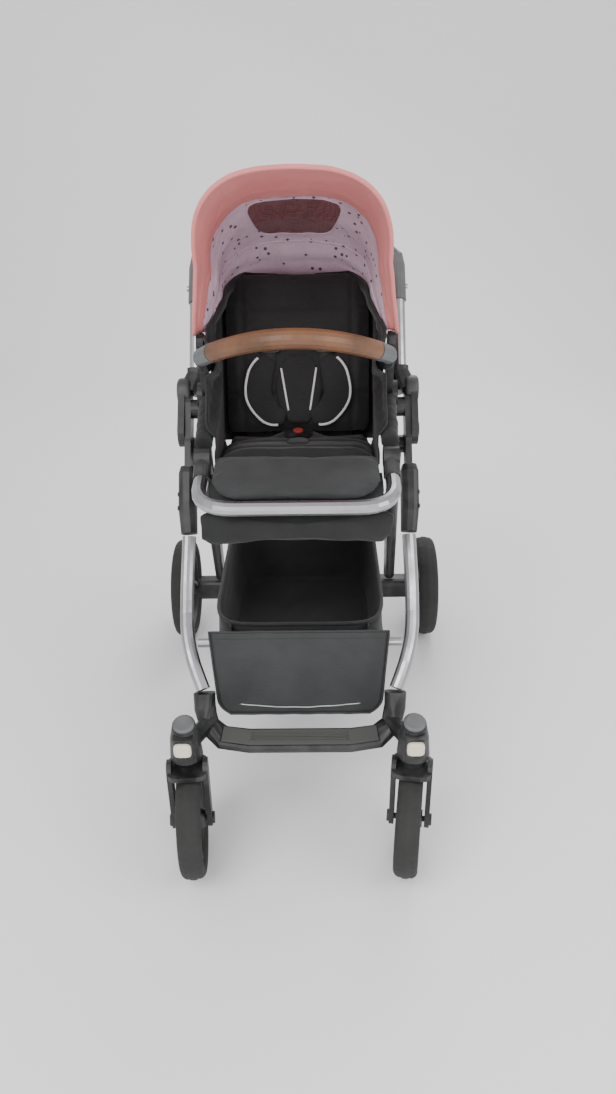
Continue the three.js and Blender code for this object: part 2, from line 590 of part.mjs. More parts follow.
// The sliding upper part of each side: stem, sleeve and the bend into the handlebar.
function handleSleeve(side) {
  const { x, stem, stemLength } = HANDLE_TUBE;
  const { y, z, halfLength, sleeveRadius } = HANDLEBAR;
  const bends = HANDLE_BEND.map(([dx, dy, dz]) => mirrored([x + dx, y + dy, z + dz], side));
  const bend = [pastTubeEnd(side, GAP), ...bends, mirrored([halfLength + SLEEVE_TO_BAR_GAP, y, z], side)];
  const radii = [sleeveRadius, SLEEVE_BEND_RADIUS, SLEEVE_BEND_RADIUS, SLEEVE_BEND_RADIUS, SLEEVE_END_RADIUS];
  const bendNormal = HANDLE_REACH.clone().cross(X_AXIS).addScaledVector(X_AXIS, side);
  const sleeve = sweep(bend, radii.map((r) => [r, r]), { sides: 14, reference: bendNormal });
  const inner = straightRod(pastTubeEnd(side, GAP - stemLength), pastTubeEnd(side, GAP + 3), stem);
  const [, buttonY, buttonZ] = heightButtonCentre(side);
  const pocketStart = x + sleeveRadius - BUTTON.body;
  const pocketEnd = x + 2 * sleeveRadius;
  const pocketRadius = BUTTON.heightRadius + BUTTON.clearance;
  const pocket = discAlongX([pocketStart, pocketEnd], buttonY, buttonZ, pocketRadius, side);
  return cut(join(sleeve, inner), pocket);
}

function heightButtonCentre(side) {
  return pastTubeEnd(side, BUTTON.heightAlong).toArray();
}

function heightButton(side) {
  const [, y, z] = heightButtonCentre(side);
  const face = HANDLE_TUBE.x + HANDLEBAR.sleeveRadius;
  return discAlongX([face - BUTTON.sunk, face + BUTTON.proud], y, z, BUTTON.heightRadius, side, 14);
}

function foldButton(side) {
  const face = LAYER.cover[1];
  const { y, z } = FOLD_PIVOT;
  return discAlongX([face - BUTTON.sunk, face + BUTTON.proud], y, z, BUTTON.foldRadius, side);
}

// The leather-covered bar, slightly rounded at both ends.
function handlebarGrip() {
  const { halfLength, radius, endRounding } = HANDLEBAR;
  const half = [[radius, halfLength - 2 * endRounding], [radius - endRounding, halfLength]];
  const profile = [...half.toReversed().map(([r, along]) => [r, -along]), ...half];
  const closed = [[0, -halfLength], ...profile, [0, halfLength]];
  const outline = closed.map(([r, along]) => new THREE.Vector2(r, along));
  return plain(new THREE.LatheGeometry(outline, 18).rotateZ(-Math.PI / 2));
}

function handle() {
  const group = new THREE.Group();
  for (const [label, side] of SIDES) {
    const [innerFace, outerFace] = LAYER.cover.map((x) => [side * x, FOLD_PIVOT.y, FOLD_PIVOT.z]);
    group.add(piece(`handle_hub_${label}`, handleHub(side), 'black', innerFace));
    group.add(piece(`fold_button_${label}`, foldButton(side), 'greyPlastic', outerFace));
    group.add(piece(`handle_tube_${label}`, handleTube(side), 'silver', mirrored(HANDLE_TUBE.from, side)));
    const tubeEnd = mirrored(HANDLE_TUBE.to, side);
    group.add(piece(`handle_sleeve_${label}`, handleSleeve(side), 'greyPlastic', tubeEnd));
    group.add(piece(`height_button_${label}`, heightButton(side), 'silver', heightButtonCentre(side)));
  }
  group.add(piece('handlebar', handlebarGrip(), 'leather'));
  group.children.at(-1).position.set(0, HANDLEBAR.y, HANDLEBAR.z);
  return group;
}

// ---------- Seat ----------

function seatFrame(side) {
  const { y, z, radius } = SEAT_HUB;
  const { from, to, lowRadius, highRadius } = UPRIGHT;
  const hub = discAlongX(LAYER.seatHub, y, z, radius, side);
  const upright = link([y, z], [CANOPY.y, CANOPY.z], lowRadius, highRadius, [from, to], side);
  const mouth = vector(mirrored([BUMPER.x, BUMPER.endY, BUMPER.endZ], side));
  const ends = SOCKET.along.map((along) => mouth.clone().addScaledVector(BUMPER_AXIS, -along));
  return join(hub, upright, sweep(ends, SOCKET.sizes, { sides: 14 }));
}

// A pad along a straight line. Each station is a share of the line, of the width and of the thickness.
function paddedBoard(stations, at, halfWidth, halfThick) {
  const path = stations.map(([t]) => at(t));
  const sizes = stations.map(([, width, thick]) => [halfWidth * width, halfThick * thick]);
  return sweep(path, sizes, { sides: 20, squareness: 4 });
}

function seatCushion() {
  const { front, rear, frontZ, slope, halfWidth, halfThick } = PAN;
  const at = (t) => [0, front + t * (rear - front), frontZ + t * (rear - front) * slope];
  return paddedBoard(CUSHION_STATIONS, at, halfWidth, halfThick);
}

function seatBack() {
  const { y, z, lean, length, halfWidth, halfThick } = BACK;
  const at = (t) => [0, y + t * length * Math.sin(lean), z + t * length * Math.cos(lean)];
  return paddedBoard(BACK_STATIONS, at, halfWidth, halfThick);
}

// A point at a height up the seat back and a distance in front of its front face.
function onBack(x, along, clear) {
  const { y, z, lean, halfThick } = BACK;
  const out = halfThick + clear;
  const [sin, cos] = [Math.sin(lean), Math.cos(lean)];
  return [x, y + along * sin - out * cos, z + along * cos + out * sin];
}

// A point at a depth along the seat cushion and a height above its top.
function onPan(x, y, clear) {
  return [x, y, PAN.frontZ + (y - PAN.front) * PAN.slope + PAN.halfThick + clear];
}

function shoulderPad(side) {
  const route = SHOULDER_PAD.route.map(([x, along]) => onBack(side * x, along, SHOULDER_PAD.clear));
  return sweep(route, SHOULDER_PAD_SIZES, { sides: 12, squareness: 3 });
}

function crotchPad() {
  const route = CROTCH_PAD.route.map(([y, clear]) => onPan(0, y, clear));
  return sweep(route, CROTCH_PAD.sizes, { sides: 12, squareness: 3 });
}

const BUCKLE_CENTRE = onPan(0, BUCKLE.y, BUCKLE.clear);

function buckle() {
  const [, y, z] = BUCKLE_CENTRE;
  const { halfWidth, halfDepth, halfThick } = BUCKLE;
  const { radius, pocketFloor, pocketTop } = BUCKLE_BUTTON;
  const low = [-halfWidth, y - halfDepth, z - halfThick];
  const body = block(low, [halfWidth, y + halfDepth, z + halfThick], 4);
  const bore = radius + BUTTON.clearance;
  return cut(body, block([-bore, y - bore, z + pocketFloor], [bore, y + bore, z + pocketTop], 2, 16));
}

function buckleButton() {
  const [, y, z] = BUCKLE_CENTRE;
  const { radius, from, to } = BUCKLE_BUTTON;
  return block([-radius, y - radius, z + from], [radius, y + radius, z + to], 2, 16);
}

function seat() {
  const group = new THREE.Group();
  group.add(piece('seat_cushion', seatCushion(), 'darkFabric'));
  group.add(piece('crotch_pad', crotchPad(), 'darkFabric'));
  group.add(piece('buckle', buckle(), 'black', BUCKLE_CENTRE));
  group.add(piece('buckle_button', buckleButton(), 'red', BUCKLE_CENTRE));
  group.add(piece('seat_back', seatBack(), 'darkFabric', [0, BACK.y, BACK.z]));
  for (const [label, side] of SIDES) {
    const rail = straightRod(mirrored(RAIL.rear, side), mirrored(RAIL.front, side), RAIL.radius);
    const padOrigin = onBack(side * SHOULDER_PAD.origin[0], SHOULDER_PAD.origin[1], SHOULDER_PAD.clear);
    const hubFace = [side * UPRIGHT.to, SEAT_HUB.y, SEAT_HUB.z];
    group.add(piece(`seat_frame_${label}`, seatFrame(side), 'black', hubFace));
    group.add(piece(`seat_rail_${label}`, rail, 'darkFabric'));
    group.add(piece(`shoulder_pad_${label}`, shoulderPad(side), 'darkFabric', padOrigin));
  }
  return group;
}

// ---------- Footrest ----------

function footrestCuff(side) {
  const { y, z, radius } = FOOTREST_PIVOT;
  const { x, startY, startZ } = FOOTREST_BAR;
  const disc = discAlongX([x - CUFF.halfWidth, x + CUFF.halfWidth], y, z, radius, side);
  const from = mirrored([x, y - CUFF.armBack, z - CUFF.armDrop], side);
  const arm = straightRod(from, mirrored([x, startY, startZ], side), CUFF.armRadius);
  return join(disc, arm);
}

// The curve of the footrest bar: straight sides and a straight front, joined by round corners.
function footrestBar() {
  const { x, startY, startZ, frontY, frontZ, corner } = FOOTREST_BAR;
  const fall = (y) => frontZ + ((startZ - frontZ) * (y - frontY)) / (startY - frontY);
  const at = (px, py) => new THREE.Vector3(px, py, fall(py));
  const route = new THREE.CurvePath();
  const side = (sign, forwards) => {
    const ends = [at(sign * x, startY - BAR_END_CLEARANCE), at(sign * x, frontY + corner)];
    route.add(new THREE.LineCurve3(...(forwards ? ends : ends.toReversed())));
  };
  const bend = (sign, forwards) => {
    const points = [at(sign * x, frontY + corner), at(sign * x, frontY), at(sign * (x - corner), frontY)];
    route.add(new THREE.QuadraticBezierCurve3(...(forwards ? points : points.toReversed())));
  };
  side(-1, true);
  bend(-1, true);
  route.add(new THREE.LineCurve3(at(corner - x, frontY), at(x - corner, frontY)));
  bend(1, false);
  side(1, false);
  return rod(route, TUBE_RADIUS, 28, 12);
}

// The pad narrows towards the front, inside the corners of the bar.
function calfPad() {
  const path = CALF_PAD.map(([y, z]) => [0, y, z]);
  const sizes = CALF_PAD.map(([, , halfWidth, halfThick]) => [halfWidth, halfThick]);
  return sweep(path, sizes, { sides: 16, squareness: 4 });
}

function footrest() {
  const group = new THREE.Group();
  const pouch = sweep(POUCH.path, POUCH.sizes, { sides: 16, squareness: 4 });
  group.add(piece('footrest_bar', footrestBar(), 'silver'));
  group.add(piece('calf_pad', calfPad(), 'greyFabric'));
  group.add(piece('leg_pouch', pouch, 'darkFabric'));
  for (const [label, side] of SIDES) {
    const origin = [side * RAIL.x, FOOTREST_PIVOT.y, FOOTREST_PIVOT.z];
    group.add(piece(`footrest_cuff_${label}`, footrestCuff(side), 'black', origin));
  }
  return group;
}

// ---------- Bumper bar ----------

// Shares of a cap's length at which its sections stand; the last two are close, to square its end.
const CAP_STEPS = [0, 0.5, 0.9, 1];
const BUMPER_AXIS = vector([0, BUMPER.frontY - BUMPER.endY, BUMPER.frontZ - BUMPER.endZ]).normalize();

// The bar's centre line: a parabola that rises to the front between the ends of two short leads.
function bumperLine() {
  const { x, endY, endZ, frontY, frontZ, lead } = BUMPER;
  const [left, right] = [-x, x].map((end) => vector([end, endY, endZ]).addScaledVector(BUMPER_AXIS, lead));
  const control = vector([0, frontY, frontZ]).multiplyScalar(2);
  control.sub(left.clone().add(right).divideScalar(2));
  return new THREE.QuadraticBezierCurve3(left, control, right);
}

function bumperBar() {
  const steps = 12;
  const from = BUMPER.capShare + BUMPER.seamShare;
  const shares = Array.from({ length: steps + 1 }, (_, i) => from + ((1 - 2 * from) * i) / steps);
  const points = shares.map((share) => bumperLine().getPoint(share).toArray());
  return curvedRod(points, BUMPER.radius, 22);
}

// A cap leaves its socket along the socket's axis and bends into the bar.
function bumperCap(side) {
  const mouth = vector([-BUMPER.x, BUMPER.endY, BUMPER.endZ]);
  const bend = CAP_STEPS.map((step) => bumperLine().getPoint(step * BUMPER.capShare));
  const path = [mouth, ...bend].map((point) => mirrored(point.toArray(), -side));
  const radii = [0, ...CAP_STEPS].map((step) => BUMPER.capRadius + step * (BUMPER.radius - BUMPER.capRadius));
  return sweep(path, radii.map((r) => [r, r]), { sides: 14 });
}

function bumper() {
  const group = new THREE.Group();
  group.add(piece('bumper_bar', bumperBar(), 'leather'));
  for (const [label, side] of SIDES) {
    group.add(piece(`bumper_cap_${label}`, bumperCap(side), 'greyPlastic'));
  }
  return group;
}

// ---------- Canopy ----------

// One crossing of the canopy: up one splayed side, over a rounded dome, and down the other.
function archPoints(angle, halfWidth, top) {
  const { y, z, foot, splay, domeShare, squareness, domeSteps } = CANOPY;
  const domeHeight = top * domeShare;
  const half = [[halfWidth + splay, foot]];
  for (let i = 0; i <= domeSteps; i += 1) {
    const around = (Math.PI / 2) * (i / domeSteps);
    const across = halfWidth * Math.cos(around) ** (2 / squareness);
    half.push([across, top - domeHeight + domeHeight * Math.sin(around) ** (2 / squareness)]);
  }
  const profile = [...half.slice(0, -1).map(([x, r]) => [-x, r]), ...half.toReversed()];
  return profile.map(([x, r]) => new THREE.Vector3(x, y + r * Math.cos(angle), z + r * Math.sin(angle)));
}

function canopyPanel({ from, to, innerFrom, innerTo, halfWidth }) {
  const grids = [0, CANOPY.thick].map((inset) => Array.from({ length: CANOPY.steps + 1 }, (_, i) => {
    const t = i / CANOPY.steps;
    const radius = innerFrom + t * (innerTo - innerFrom) + CANOPY.thick - inset;
    return archPoints(degrees(from + t * (to - from)), halfWidth - inset, radius);
  }));
  return wall(...grids);
}

function canopy() {
  const group = new THREE.Group();
  for (const panel of CANOPY_PANELS) {
    group.add(piece(panel.name, canopyPanel(panel), 'canopyPink', [0, CANOPY.y, CANOPY.z]));
  }
  return group;
}

// ---------- Whole stroller ----------

const stroller = new THREE.Group();
stroller.name = 'baby_stroller';
const drawn = new THREE.Group();
drawn.position.y = CENTRE_SHIFT_Y;
stroller.add(drawn);
drawn.add(chassis(), rearFrame(), handle(), seat(), footrest(), bumper(), canopy());
for (const [label, side] of SIDES) {
  drawn.add(caster(label, side));
}

export default stroller;
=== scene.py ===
"""A folding baby stroller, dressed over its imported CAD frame. Metres; +Y runs from front to back."""
import json
import math

import bpy
from mathutils import Matrix, Vector, noise


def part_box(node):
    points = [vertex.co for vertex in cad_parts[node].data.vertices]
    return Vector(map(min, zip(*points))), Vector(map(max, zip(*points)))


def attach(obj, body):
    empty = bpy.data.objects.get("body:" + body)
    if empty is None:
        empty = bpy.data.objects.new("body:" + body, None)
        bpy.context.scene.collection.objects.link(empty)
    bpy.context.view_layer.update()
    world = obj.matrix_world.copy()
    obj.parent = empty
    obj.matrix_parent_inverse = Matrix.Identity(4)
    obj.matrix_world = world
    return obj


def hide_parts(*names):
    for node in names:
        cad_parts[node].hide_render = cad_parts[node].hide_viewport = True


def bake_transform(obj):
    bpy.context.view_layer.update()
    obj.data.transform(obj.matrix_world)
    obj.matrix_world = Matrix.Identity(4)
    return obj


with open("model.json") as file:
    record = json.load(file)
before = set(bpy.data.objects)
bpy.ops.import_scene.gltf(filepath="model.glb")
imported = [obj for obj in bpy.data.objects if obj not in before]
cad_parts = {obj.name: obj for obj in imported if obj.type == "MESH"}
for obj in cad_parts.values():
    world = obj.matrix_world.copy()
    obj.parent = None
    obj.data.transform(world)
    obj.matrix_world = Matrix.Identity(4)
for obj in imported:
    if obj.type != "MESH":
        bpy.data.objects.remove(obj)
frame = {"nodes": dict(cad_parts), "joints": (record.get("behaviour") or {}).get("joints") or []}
NODES = frame["nodes"]
JOINTS = {joint["name"]: joint for joint in frame["joints"]}
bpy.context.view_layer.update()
SIDES = (("left", -1), ("right", 1))
X, Y, Z = Vector((1, 0, 0)), Vector((0, 1, 0)), Vector((0, 0, 1))


# ---------- Camera and light ----------

# The camera solved from the photograph: place in metres, turns in degrees, lens and sensor in millimetres.
CAMERA_PLACE = (0.037, -1.38765, 1.2)
CAMERA_PITCH, CAMERA_YAW, CAMERA_ROLL = 29.4, 0.94, 1.07
CAMERA_LENS, CAMERA_SENSOR = 27.97, 36.0
# Each light: name, place, what it points at, size and power in watts.
LIGHTS = (("key", (-1.3, -1.9, 2.6), (0, 0, 0.5), 1.8, 60),
          ("fill", (1.9, -1.2, 1.8), (0, 0, 0.6), 1.6, 30),
          ("low_front", (0.2, -2.2, 0.7), (0, -0.2, 0.5), 1.2, 12),
          ("back", (0.6, 2.2, 2.2), (0, 0.1, 0.8), 1.6, 35))
WORLD_STRENGTH = 0.85


def show(thing):
    bpy.context.scene.collection.objects.link(thing)


def camera():
    """The viewpoint: in front, above the handle and looking down at the seat."""
    pitch, yaw, roll = (math.radians(a) for a in (CAMERA_PITCH, CAMERA_YAW, CAMERA_ROLL))
    right0 = Vector((math.cos(yaw), math.sin(yaw), 0))
    forward = Vector((-math.sin(yaw) * math.cos(pitch), math.cos(yaw) * math.cos(pitch), -math.sin(pitch)))
    down0 = forward.cross(right0)
    right = math.cos(roll) * right0 + math.sin(roll) * down0
    down = -math.sin(roll) * right0 + math.cos(roll) * down0
    turn = Matrix((right, -down, -forward)).transposed().to_4x4()
    data = bpy.data.cameras.new("camera")
    data.lens, data.sensor_width = CAMERA_LENS, CAMERA_SENSOR
    seen = bpy.data.objects.new("camera", data)
    seen.matrix_world = Matrix.Translation(CAMERA_PLACE) @ turn
    show(seen)
    bpy.context.scene.camera = seen


def area_light(name, place, target, size, power):
    data = bpy.data.lights.new(name, "AREA")
    data.size, data.energy = size, power
    lamp = bpy.data.objects.new(name, data)
    aim = (Vector(target) - Vector(place)).to_track_quat("-Z", "Y")
    lamp.matrix_world = Matrix.Translation(place) @ aim.to_matrix().to_4x4()
    show(lamp)


def studio():
    world = bpy.data.worlds.new("studio")
    world.use_nodes = True
    background = world.node_tree.nodes["Background"]
    background.inputs["Color"].default_value = (1, 1, 1, 1)
    background.inputs["Strength"].default_value = WORLD_STRENGTH
    bpy.context.scene.world = world
    for light in LIGHTS:
        area_light(*light)


camera()
studio()


# ---------- Materials ----------

def shader(name, colour, roughness, metallic=0.0, sheen=0.0, coat=0.0):
    material = bpy.data.materials.new(name)
    material.use_nodes = True
    principled = material.node_tree.nodes["Principled BSDF"]
    principled.inputs["Base Color"].default_value = (*colour, 1)
    principled.inputs["Roughness"].default_value = roughness
    principled.inputs["Metallic"].default_value = metallic
    principled.inputs["Sheen Weight"].default_value = sheen
    principled.inputs["Sheen Roughness"].default_value = 0.5
    principled.inputs["Coat Weight"].default_value = coat
    return material, material.node_tree, principled


def node(tree, kind, **settings):
    made = tree.nodes.new(kind)
    for key, value in settings.items():
        if key in made.inputs:
            made.inputs[key].default_value = value
        else:
            setattr(made, key, value)
    return made


def coordinates(tree, stretch=(1, 1, 1)):
    source = node(tree, "ShaderNodeTexCoord")
    mapping = node(tree, "ShaderNodeMapping", Scale=stretch)
    tree.links.new(source.outputs["Object"], mapping.inputs["Vector"])
    return mapping.outputs["Vector"]


def noise_map(tree, where, scale, detail=4.0):
    texture = node(tree, "ShaderNodeTexNoise", Scale=scale, Detail=detail)
    tree.links.new(where, texture.inputs["Vector"])
    return texture.outputs["Fac"]


def remap(tree, value, low, high, start=0.25, end=0.75):
    ramp = node(tree, "ShaderNodeMapRange")
    for key, number in (("From Min", start), ("From Max", end), ("To Min", low), ("To Max", high)):
        ramp.inputs[key].default_value = number
    tree.links.new(value, ramp.inputs["Value"])
    return ramp.outputs["Result"]


def arithmetic(tree, operation, first, second):
    made = node(tree, "ShaderNodeMath", operation=operation)
    for i, value in enumerate((first, second)):
        if isinstance(value, (int, float)):
            made.inputs[i].default_value = value
        else:
            tree.links.new(value, made.inputs[i])
    return made.outputs[0]


def blend_colours(tree, factor, first, second):
    mix = node(tree, "ShaderNodeMix", data_type="RGBA")
    tree.links.new(factor, mix.inputs["Factor"])
    for socket, colour in (("A", first), ("B", second)):
        target = [i for i in mix.inputs if i.name == socket and i.type == "RGBA"][0]
        if isinstance(colour, tuple):
            target.default_value = (*colour, 1)
        else:
            tree.links.new(colour, target)
    return [o for o in mix.outputs if o.type == "RGBA"][0]


def add_bump(tree, principled, height, strength, distance):
    bump = node(tree, "ShaderNodeBump", Strength=strength, Distance=distance)
    tree.links.new(height, bump.inputs["Height"])
    tree.links.new(bump.outputs["Normal"], principled.inputs["Normal"])


def vary_colour(tree, principled, value, start, end, first, second, low=0, high=1):
    """The colour goes from first to second as the value goes from start to end."""
    colour = blend_colours(tree, remap(tree, value, low, high, start, end), first, second)
    tree.links.new(colour, principled.inputs["Base Color"])


def vary_roughness(tree, principled, value, low, high):
    tree.links.new(remap(tree, value, low, high), principled.inputs["Roughness"])


def weave_height(tree, where, pitch):
    """Over-and-under threads of one pitch, as the sum of two products of crossing waves."""
    axes = []
    for axis in "XYZ":
        wave = node(tree, "ShaderNodeTexWave", wave_type="BANDS", bands_direction=axis,
                    Scale=1 / (pitch * 3.2), Distortion=0.4, Detail=1.0)
        tree.links.new(where, wave.inputs["Vector"])
        axes.append(wave.outputs["Fac"])
    return arithmetic(tree, "ADD", arithmetic(tree, "MULTIPLY", axes[0], axes[1]),
                      arithmetic(tree, "MULTIPLY", axes[1], axes[2]))


def fabric(name, dark, light, pitch=0.0018, roughness=0.9, sheen=0.1, bump=0.2, patch=14):
    """Woven cloth: threads in the bump, heathered yarn and slow patches of wear in the colour."""
    material, tree, principled = shader(name, dark, roughness, sheen=sheen)
    where = coordinates(tree)
    threads = weave_height(tree, where, pitch)
    patches = noise_map(tree, where, patch, 5)
    yarn = noise_map(tree, where, 420, 2)
    tone = arithmetic(tree, "ADD", arithmetic(tree, "MULTIPLY", patches, 0.6),
                      arithmetic(tree, "MULTIPLY", yarn, 0.4))
    vary_colour(tree, principled, tone, 0.35, 0.65, dark, light)
    vary_roughness(tree, principled, yarn, roughness - 0.12, roughness + 0.06)
    height = arithmetic(tree, "ADD", threads, arithmetic(tree, "MULTIPLY", yarn, 0.5))
    add_bump(tree, principled, height, bump, 0.0006)
    return material


def plastic(name, colour, roughness=0.5):
    """Moulded plastic with a fine spark-eroded grain and handling marks."""
    material, tree, principled = shader(name, colour, roughness)
    where = coordinates(tree)
    marks = noise_map(tree, where, 26, 6)
    grains = noise_map(tree, where, 900, 2)
    worn = tuple(min(1, c + 0.03) for c in colour)
    vary_colour(tree, principled, marks, 0.42, 0.7, colour, worn)
    vary_roughness(tree, principled, marks, roughness - 0.1, roughness + 0.14)
    add_bump(tree, principled, grains, 0.18, 0.0003)
    return material


def metal(name, colour, roughness=0.3):
    """Anodised tube, drawn along its length, with faint scuffs."""
    material, tree, principled = shader(name, colour, roughness, metallic=1.0)
    drawn = noise_map(tree, coordinates(tree, (900, 60, 60)), 1.0, 3)
    scuffs = noise_map(tree, coordinates(tree), 30, 6)
    darker = tuple(c * 0.8 for c in colour)
    vary_colour(tree, principled, scuffs, 0.35, 0.65, colour, darker)
    vary_roughness(tree, principled, scuffs, roughness - 0.06, roughness + 0.14)
    add_bump(tree, principled, drawn, 0.1, 0.0003)
    return material


def leather(name, colour):
    """Tan leather: pebbled grain, darker creases and rubbed, shinier high spots."""
    material, tree, principled = shader(name, colour, 0.5, coat=0.08)
    where = coordinates(tree)
    cells = node(tree, "ShaderNodeTexVoronoi", Scale=520)
    tree.links.new(where, cells.inputs["Vector"])
    tone = noise_map(tree, where, 18, 6)
    dark, pale = tuple(c * 0.72 for c in colour), tuple(min(1, c * 1.2) for c in colour)
    vary_colour(tree, principled, tone, 0.35, 0.65, dark, pale)
    vary_roughness(tree, principled, tone, 0.58, 0.4)
    add_bump(tree, principled, cells.outputs["Distance"], 0.35, 0.0006)
    return material


def rubber(name, colour, roughness=0.8):
    """Tyre or tread rubber with dust held in its texture."""
    material, tree, principled = shader(name, colour, roughness)
    where = coordinates(tree)
    dust = noise_map(tree, where, 22, 7)
    fine = noise_map(tree, where, 700, 3)
    dusty = tuple(c * 0.6 + 0.035 for c in colour)
    vary_colour(tree, principled, dust, 0.45, 0.8, colour, dusty, high=0.55)
    vary_roughness(tree, principled, dust, roughness - 0.1, 0.95)
    add_bump(tree, principled, fine, 0.3, 0.0005)
    return material


def dotted_lining():
    """Pale lilac lining scattered with small plain dots of several sizes."""
    material = fabric("lining_cloth", (0.45, 0.31, 0.39), (0.6, 0.45, 0.54), 0.0014)
    tree, base = material.node_tree, material.node_tree.nodes["Principled BSDF"].inputs["Base Color"]
    cells = node(tree, "ShaderNodeTexVoronoi", Scale=64, Randomness=0.9)
    tree.links.new(coordinates(tree), cells.inputs["Vector"])
    dots = arithmetic(tree, "LESS_THAN", cells.outputs["Distance"], 0.2)
    cloth = base.links[0].from_socket
    tree.links.new(blend_colours(tree, dots, cloth, (0.09, 0.05, 0.08)), base)
    return material


def window_mesh():
    """Knit window: maroon yarn in a fine grid, with painted shade darkening the hollows between the threads.
    """
    material, tree, principled = shader("window_mesh_cloth", (0.12, 0.03, 0.035), 0.85, sheen=0.15)
    where = coordinates(tree)
    knit_height_and_hollow_shade = weave_height(tree, where, 0.0022)
    patches = noise_map(tree, where, 16, 5)
    # Painted shade: where the knit is low, in its hollows, the colour goes nearly black; the maroon is the
    # yarn's own colour, varied by slow random patches.
    tone = arithmetic(tree, "MULTIPLY", knit_height_and_hollow_shade, patches)
    vary_colour(tree, principled, tone, 0.05, 0.6, (0.05, 0.012, 0.016), (0.26, 0.08, 0.09))
    add_bump(tree, principled, knit_height_and_hollow_shade, 0.5, 0.001)
    return material


MATERIALS = {
    "black_plastic": plastic("black_plastic", (0.007, 0.007, 0.0075), 0.42),
    "dark_grey_plastic": plastic("dark_grey_plastic", (0.035, 0.036, 0.037)),
    "grey_plastic": plastic("grey_plastic", (0.09, 0.095, 0.098), 0.48),
    "rim_plastic": plastic("rim_plastic", (0.012, 0.012, 0.013)),
    "cream_plastic": plastic("cream_plastic", (0.66, 0.62, 0.48), 0.4),
    "red_plastic": plastic("red_plastic", (0.36, 0.03, 0.027), 0.38),
    "silver_tube": metal("silver_tube", (0.45, 0.45, 0.47)),
    "leather": leather("tan_leather", (0.14, 0.06, 0.026)),
    "footplate_rubber": rubber("footplate_rubber", (0.05, 0.05, 0.048), 0.75),
    "tyre": rubber("tyre_rubber", (0.018, 0.0175, 0.017), 0.82),
    "pink": fabric("canopy_pink_cloth", (0.6, 0.175, 0.17), (0.7, 0.24, 0.23), 0.0013, bump=0.16, patch=9),
    "lining": dotted_lining(),
    "window": window_mesh(),
    "seat_cloth": fabric("seat_black_cloth", (0.0045, 0.0045, 0.005), (0.014, 0.014, 0.015)),
    "calf_cloth": fabric("calf_grey_cloth", (0.015, 0.016, 0.0165), (0.034, 0.036, 0.037), bump=0.14),
    "panel_cloth": fabric("panel_coated_cloth", (0.012, 0.013, 0.0135), (0.027, 0.029, 0.03),
                          0.0014, 0.7, 0.06, 0.14),
    "basket_cloth": fabric("basket_cloth", (0.006, 0.006, 0.0065), (0.017, 0.017, 0.018),
                           0.002, 0.85, 0.08, 0.25),
    "webbing": fabric("webbing_cloth", (0.006, 0.006, 0.0065), (0.018, 0.018, 0.019),
                      0.0022, 0.8, 0.08, 0.45),
    "white_piping": fabric("white_piping_cloth", (0.5, 0.5, 0.5), (0.68, 0.68, 0.67), 0.001, 0.6),
    "reflective": metal("reflective_piping", (0.55, 0.55, 0.56), 0.4),
}
# The record's slot for each material, where it isn't called the same as the material; mesh_piece looks one up
# but does not use it.
SLOTS = {
    "dark_grey_plastic": "grey_plastic", "grey_plastic": "black_plastic", "rim_plastic": "grey_plastic",
    "pink": "canopy_fabric", "lining": "canopy_fabric", "calf_cloth": "grey_fabric",
    "panel_cloth": "panel_fabric", "reflective": "panel_fabric", "seat_cloth": "dark_fabric",
    "basket_cloth": "dark_fabric", "webbing": "dark_fabric", "white_piping": "dark_fabric",
}


# ---------- Mesh building ----------

def wrinkle(point, size, amount):
    """A smooth, repeatable displacement in metres."""
    return amount * noise.noise(Vector(point) / size)


def mesh_piece(name, points, faces, material, body, indices=None, extra=(), slot=None):
    data = bpy.data.meshes.new(name)
    data.from_pydata([tuple(p) for p in points], [], faces)
    for key in (material, *extra):
        data.materials.append(MATERIALS[key])
    if indices:
        data.polygons.foreach_set("material_index", indices)
    data.validate()
    data.shade_smooth()
    piece = bpy.data.objects.new(name, data)
    show(piece)
    if body:
        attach(piece, body)
    slot or SLOTS.get(material, material)
    return piece


def grid_faces(rows, columns, closed, start=0):
    span = columns if closed else columns - 1
    return [(start + i * columns + j, start + i * columns + (j + 1) % columns,
             start + (i + 1) * columns + (j + 1) % columns, start + (i + 1) * columns + j)
            for i in range(rows - 1) for j in range(span)]


def line_length(line):
    return sum((b - a).length for a, b in zip(line, line[1:]))


def flat_cut(grid):
    """The size of the cloth a grid is cut from, and the area of the cut, measured along the cloth."""
    longest = [max(line_length(line) for line in lines) for lines in (grid, list(zip(*grid)))]
    area = 0.0
    for near, far in zip(grid, grid[1:]):
        for a, b, c, d in zip(near, near[1:], far[1:], far):
            area += ((b - a).cross(c - a).length + (c - a).cross(d - a).length) / 2
    return tuple(longest), area


def cloth_grid(rows, columns, place):
    """Points place(t, across) of a cloth, where t runs 0 to 1 along it and across runs -1 to 1."""
    return [[place(i / rows, 2 * j / columns - 1) for j in range(columns + 1)] for i in range(rows + 1)]


def stretched_sheet(name, outer, inner, material, body):
    """A sheet of cloth, of two matching grids of points joined round the edge, and its rim."""
    count, width = len(outer), len(outer[0])
    points = [p for row in outer for p in row] + [p for row in inner for p in row]
    layer = count * width
    faces = grid_faces(count, width, False)
    faces += [tuple(reversed(face)) for face in grid_faces(count, width, False, layer)]
    last_row = range(layer - width, layer)
    rim = [*range(width), *(i * width + width - 1 for i in range(1, count)),
           *last_row[-2::-1], *(i * width for i in range(count - 2, 0, -1))]
    faces += [(b, a, a + layer, b + layer) for a, b in zip(rim, rim[1:] + rim[:1])]
    piece = mesh_piece(name, points, faces, material, body)
    size, cut = flat_cut(outer)
    return piece, [points[i] for i in rim]


def loft_data(rings, caps=True):
    columns = len(rings[0])
    faces = grid_faces(len(rings), columns, True)
    if caps:
        faces.append(tuple(reversed(range(columns))))
        faces.append(tuple(range((len(rings) - 1) * columns, len(rings) * columns)))
    return [p for ring in rings for p in ring], faces


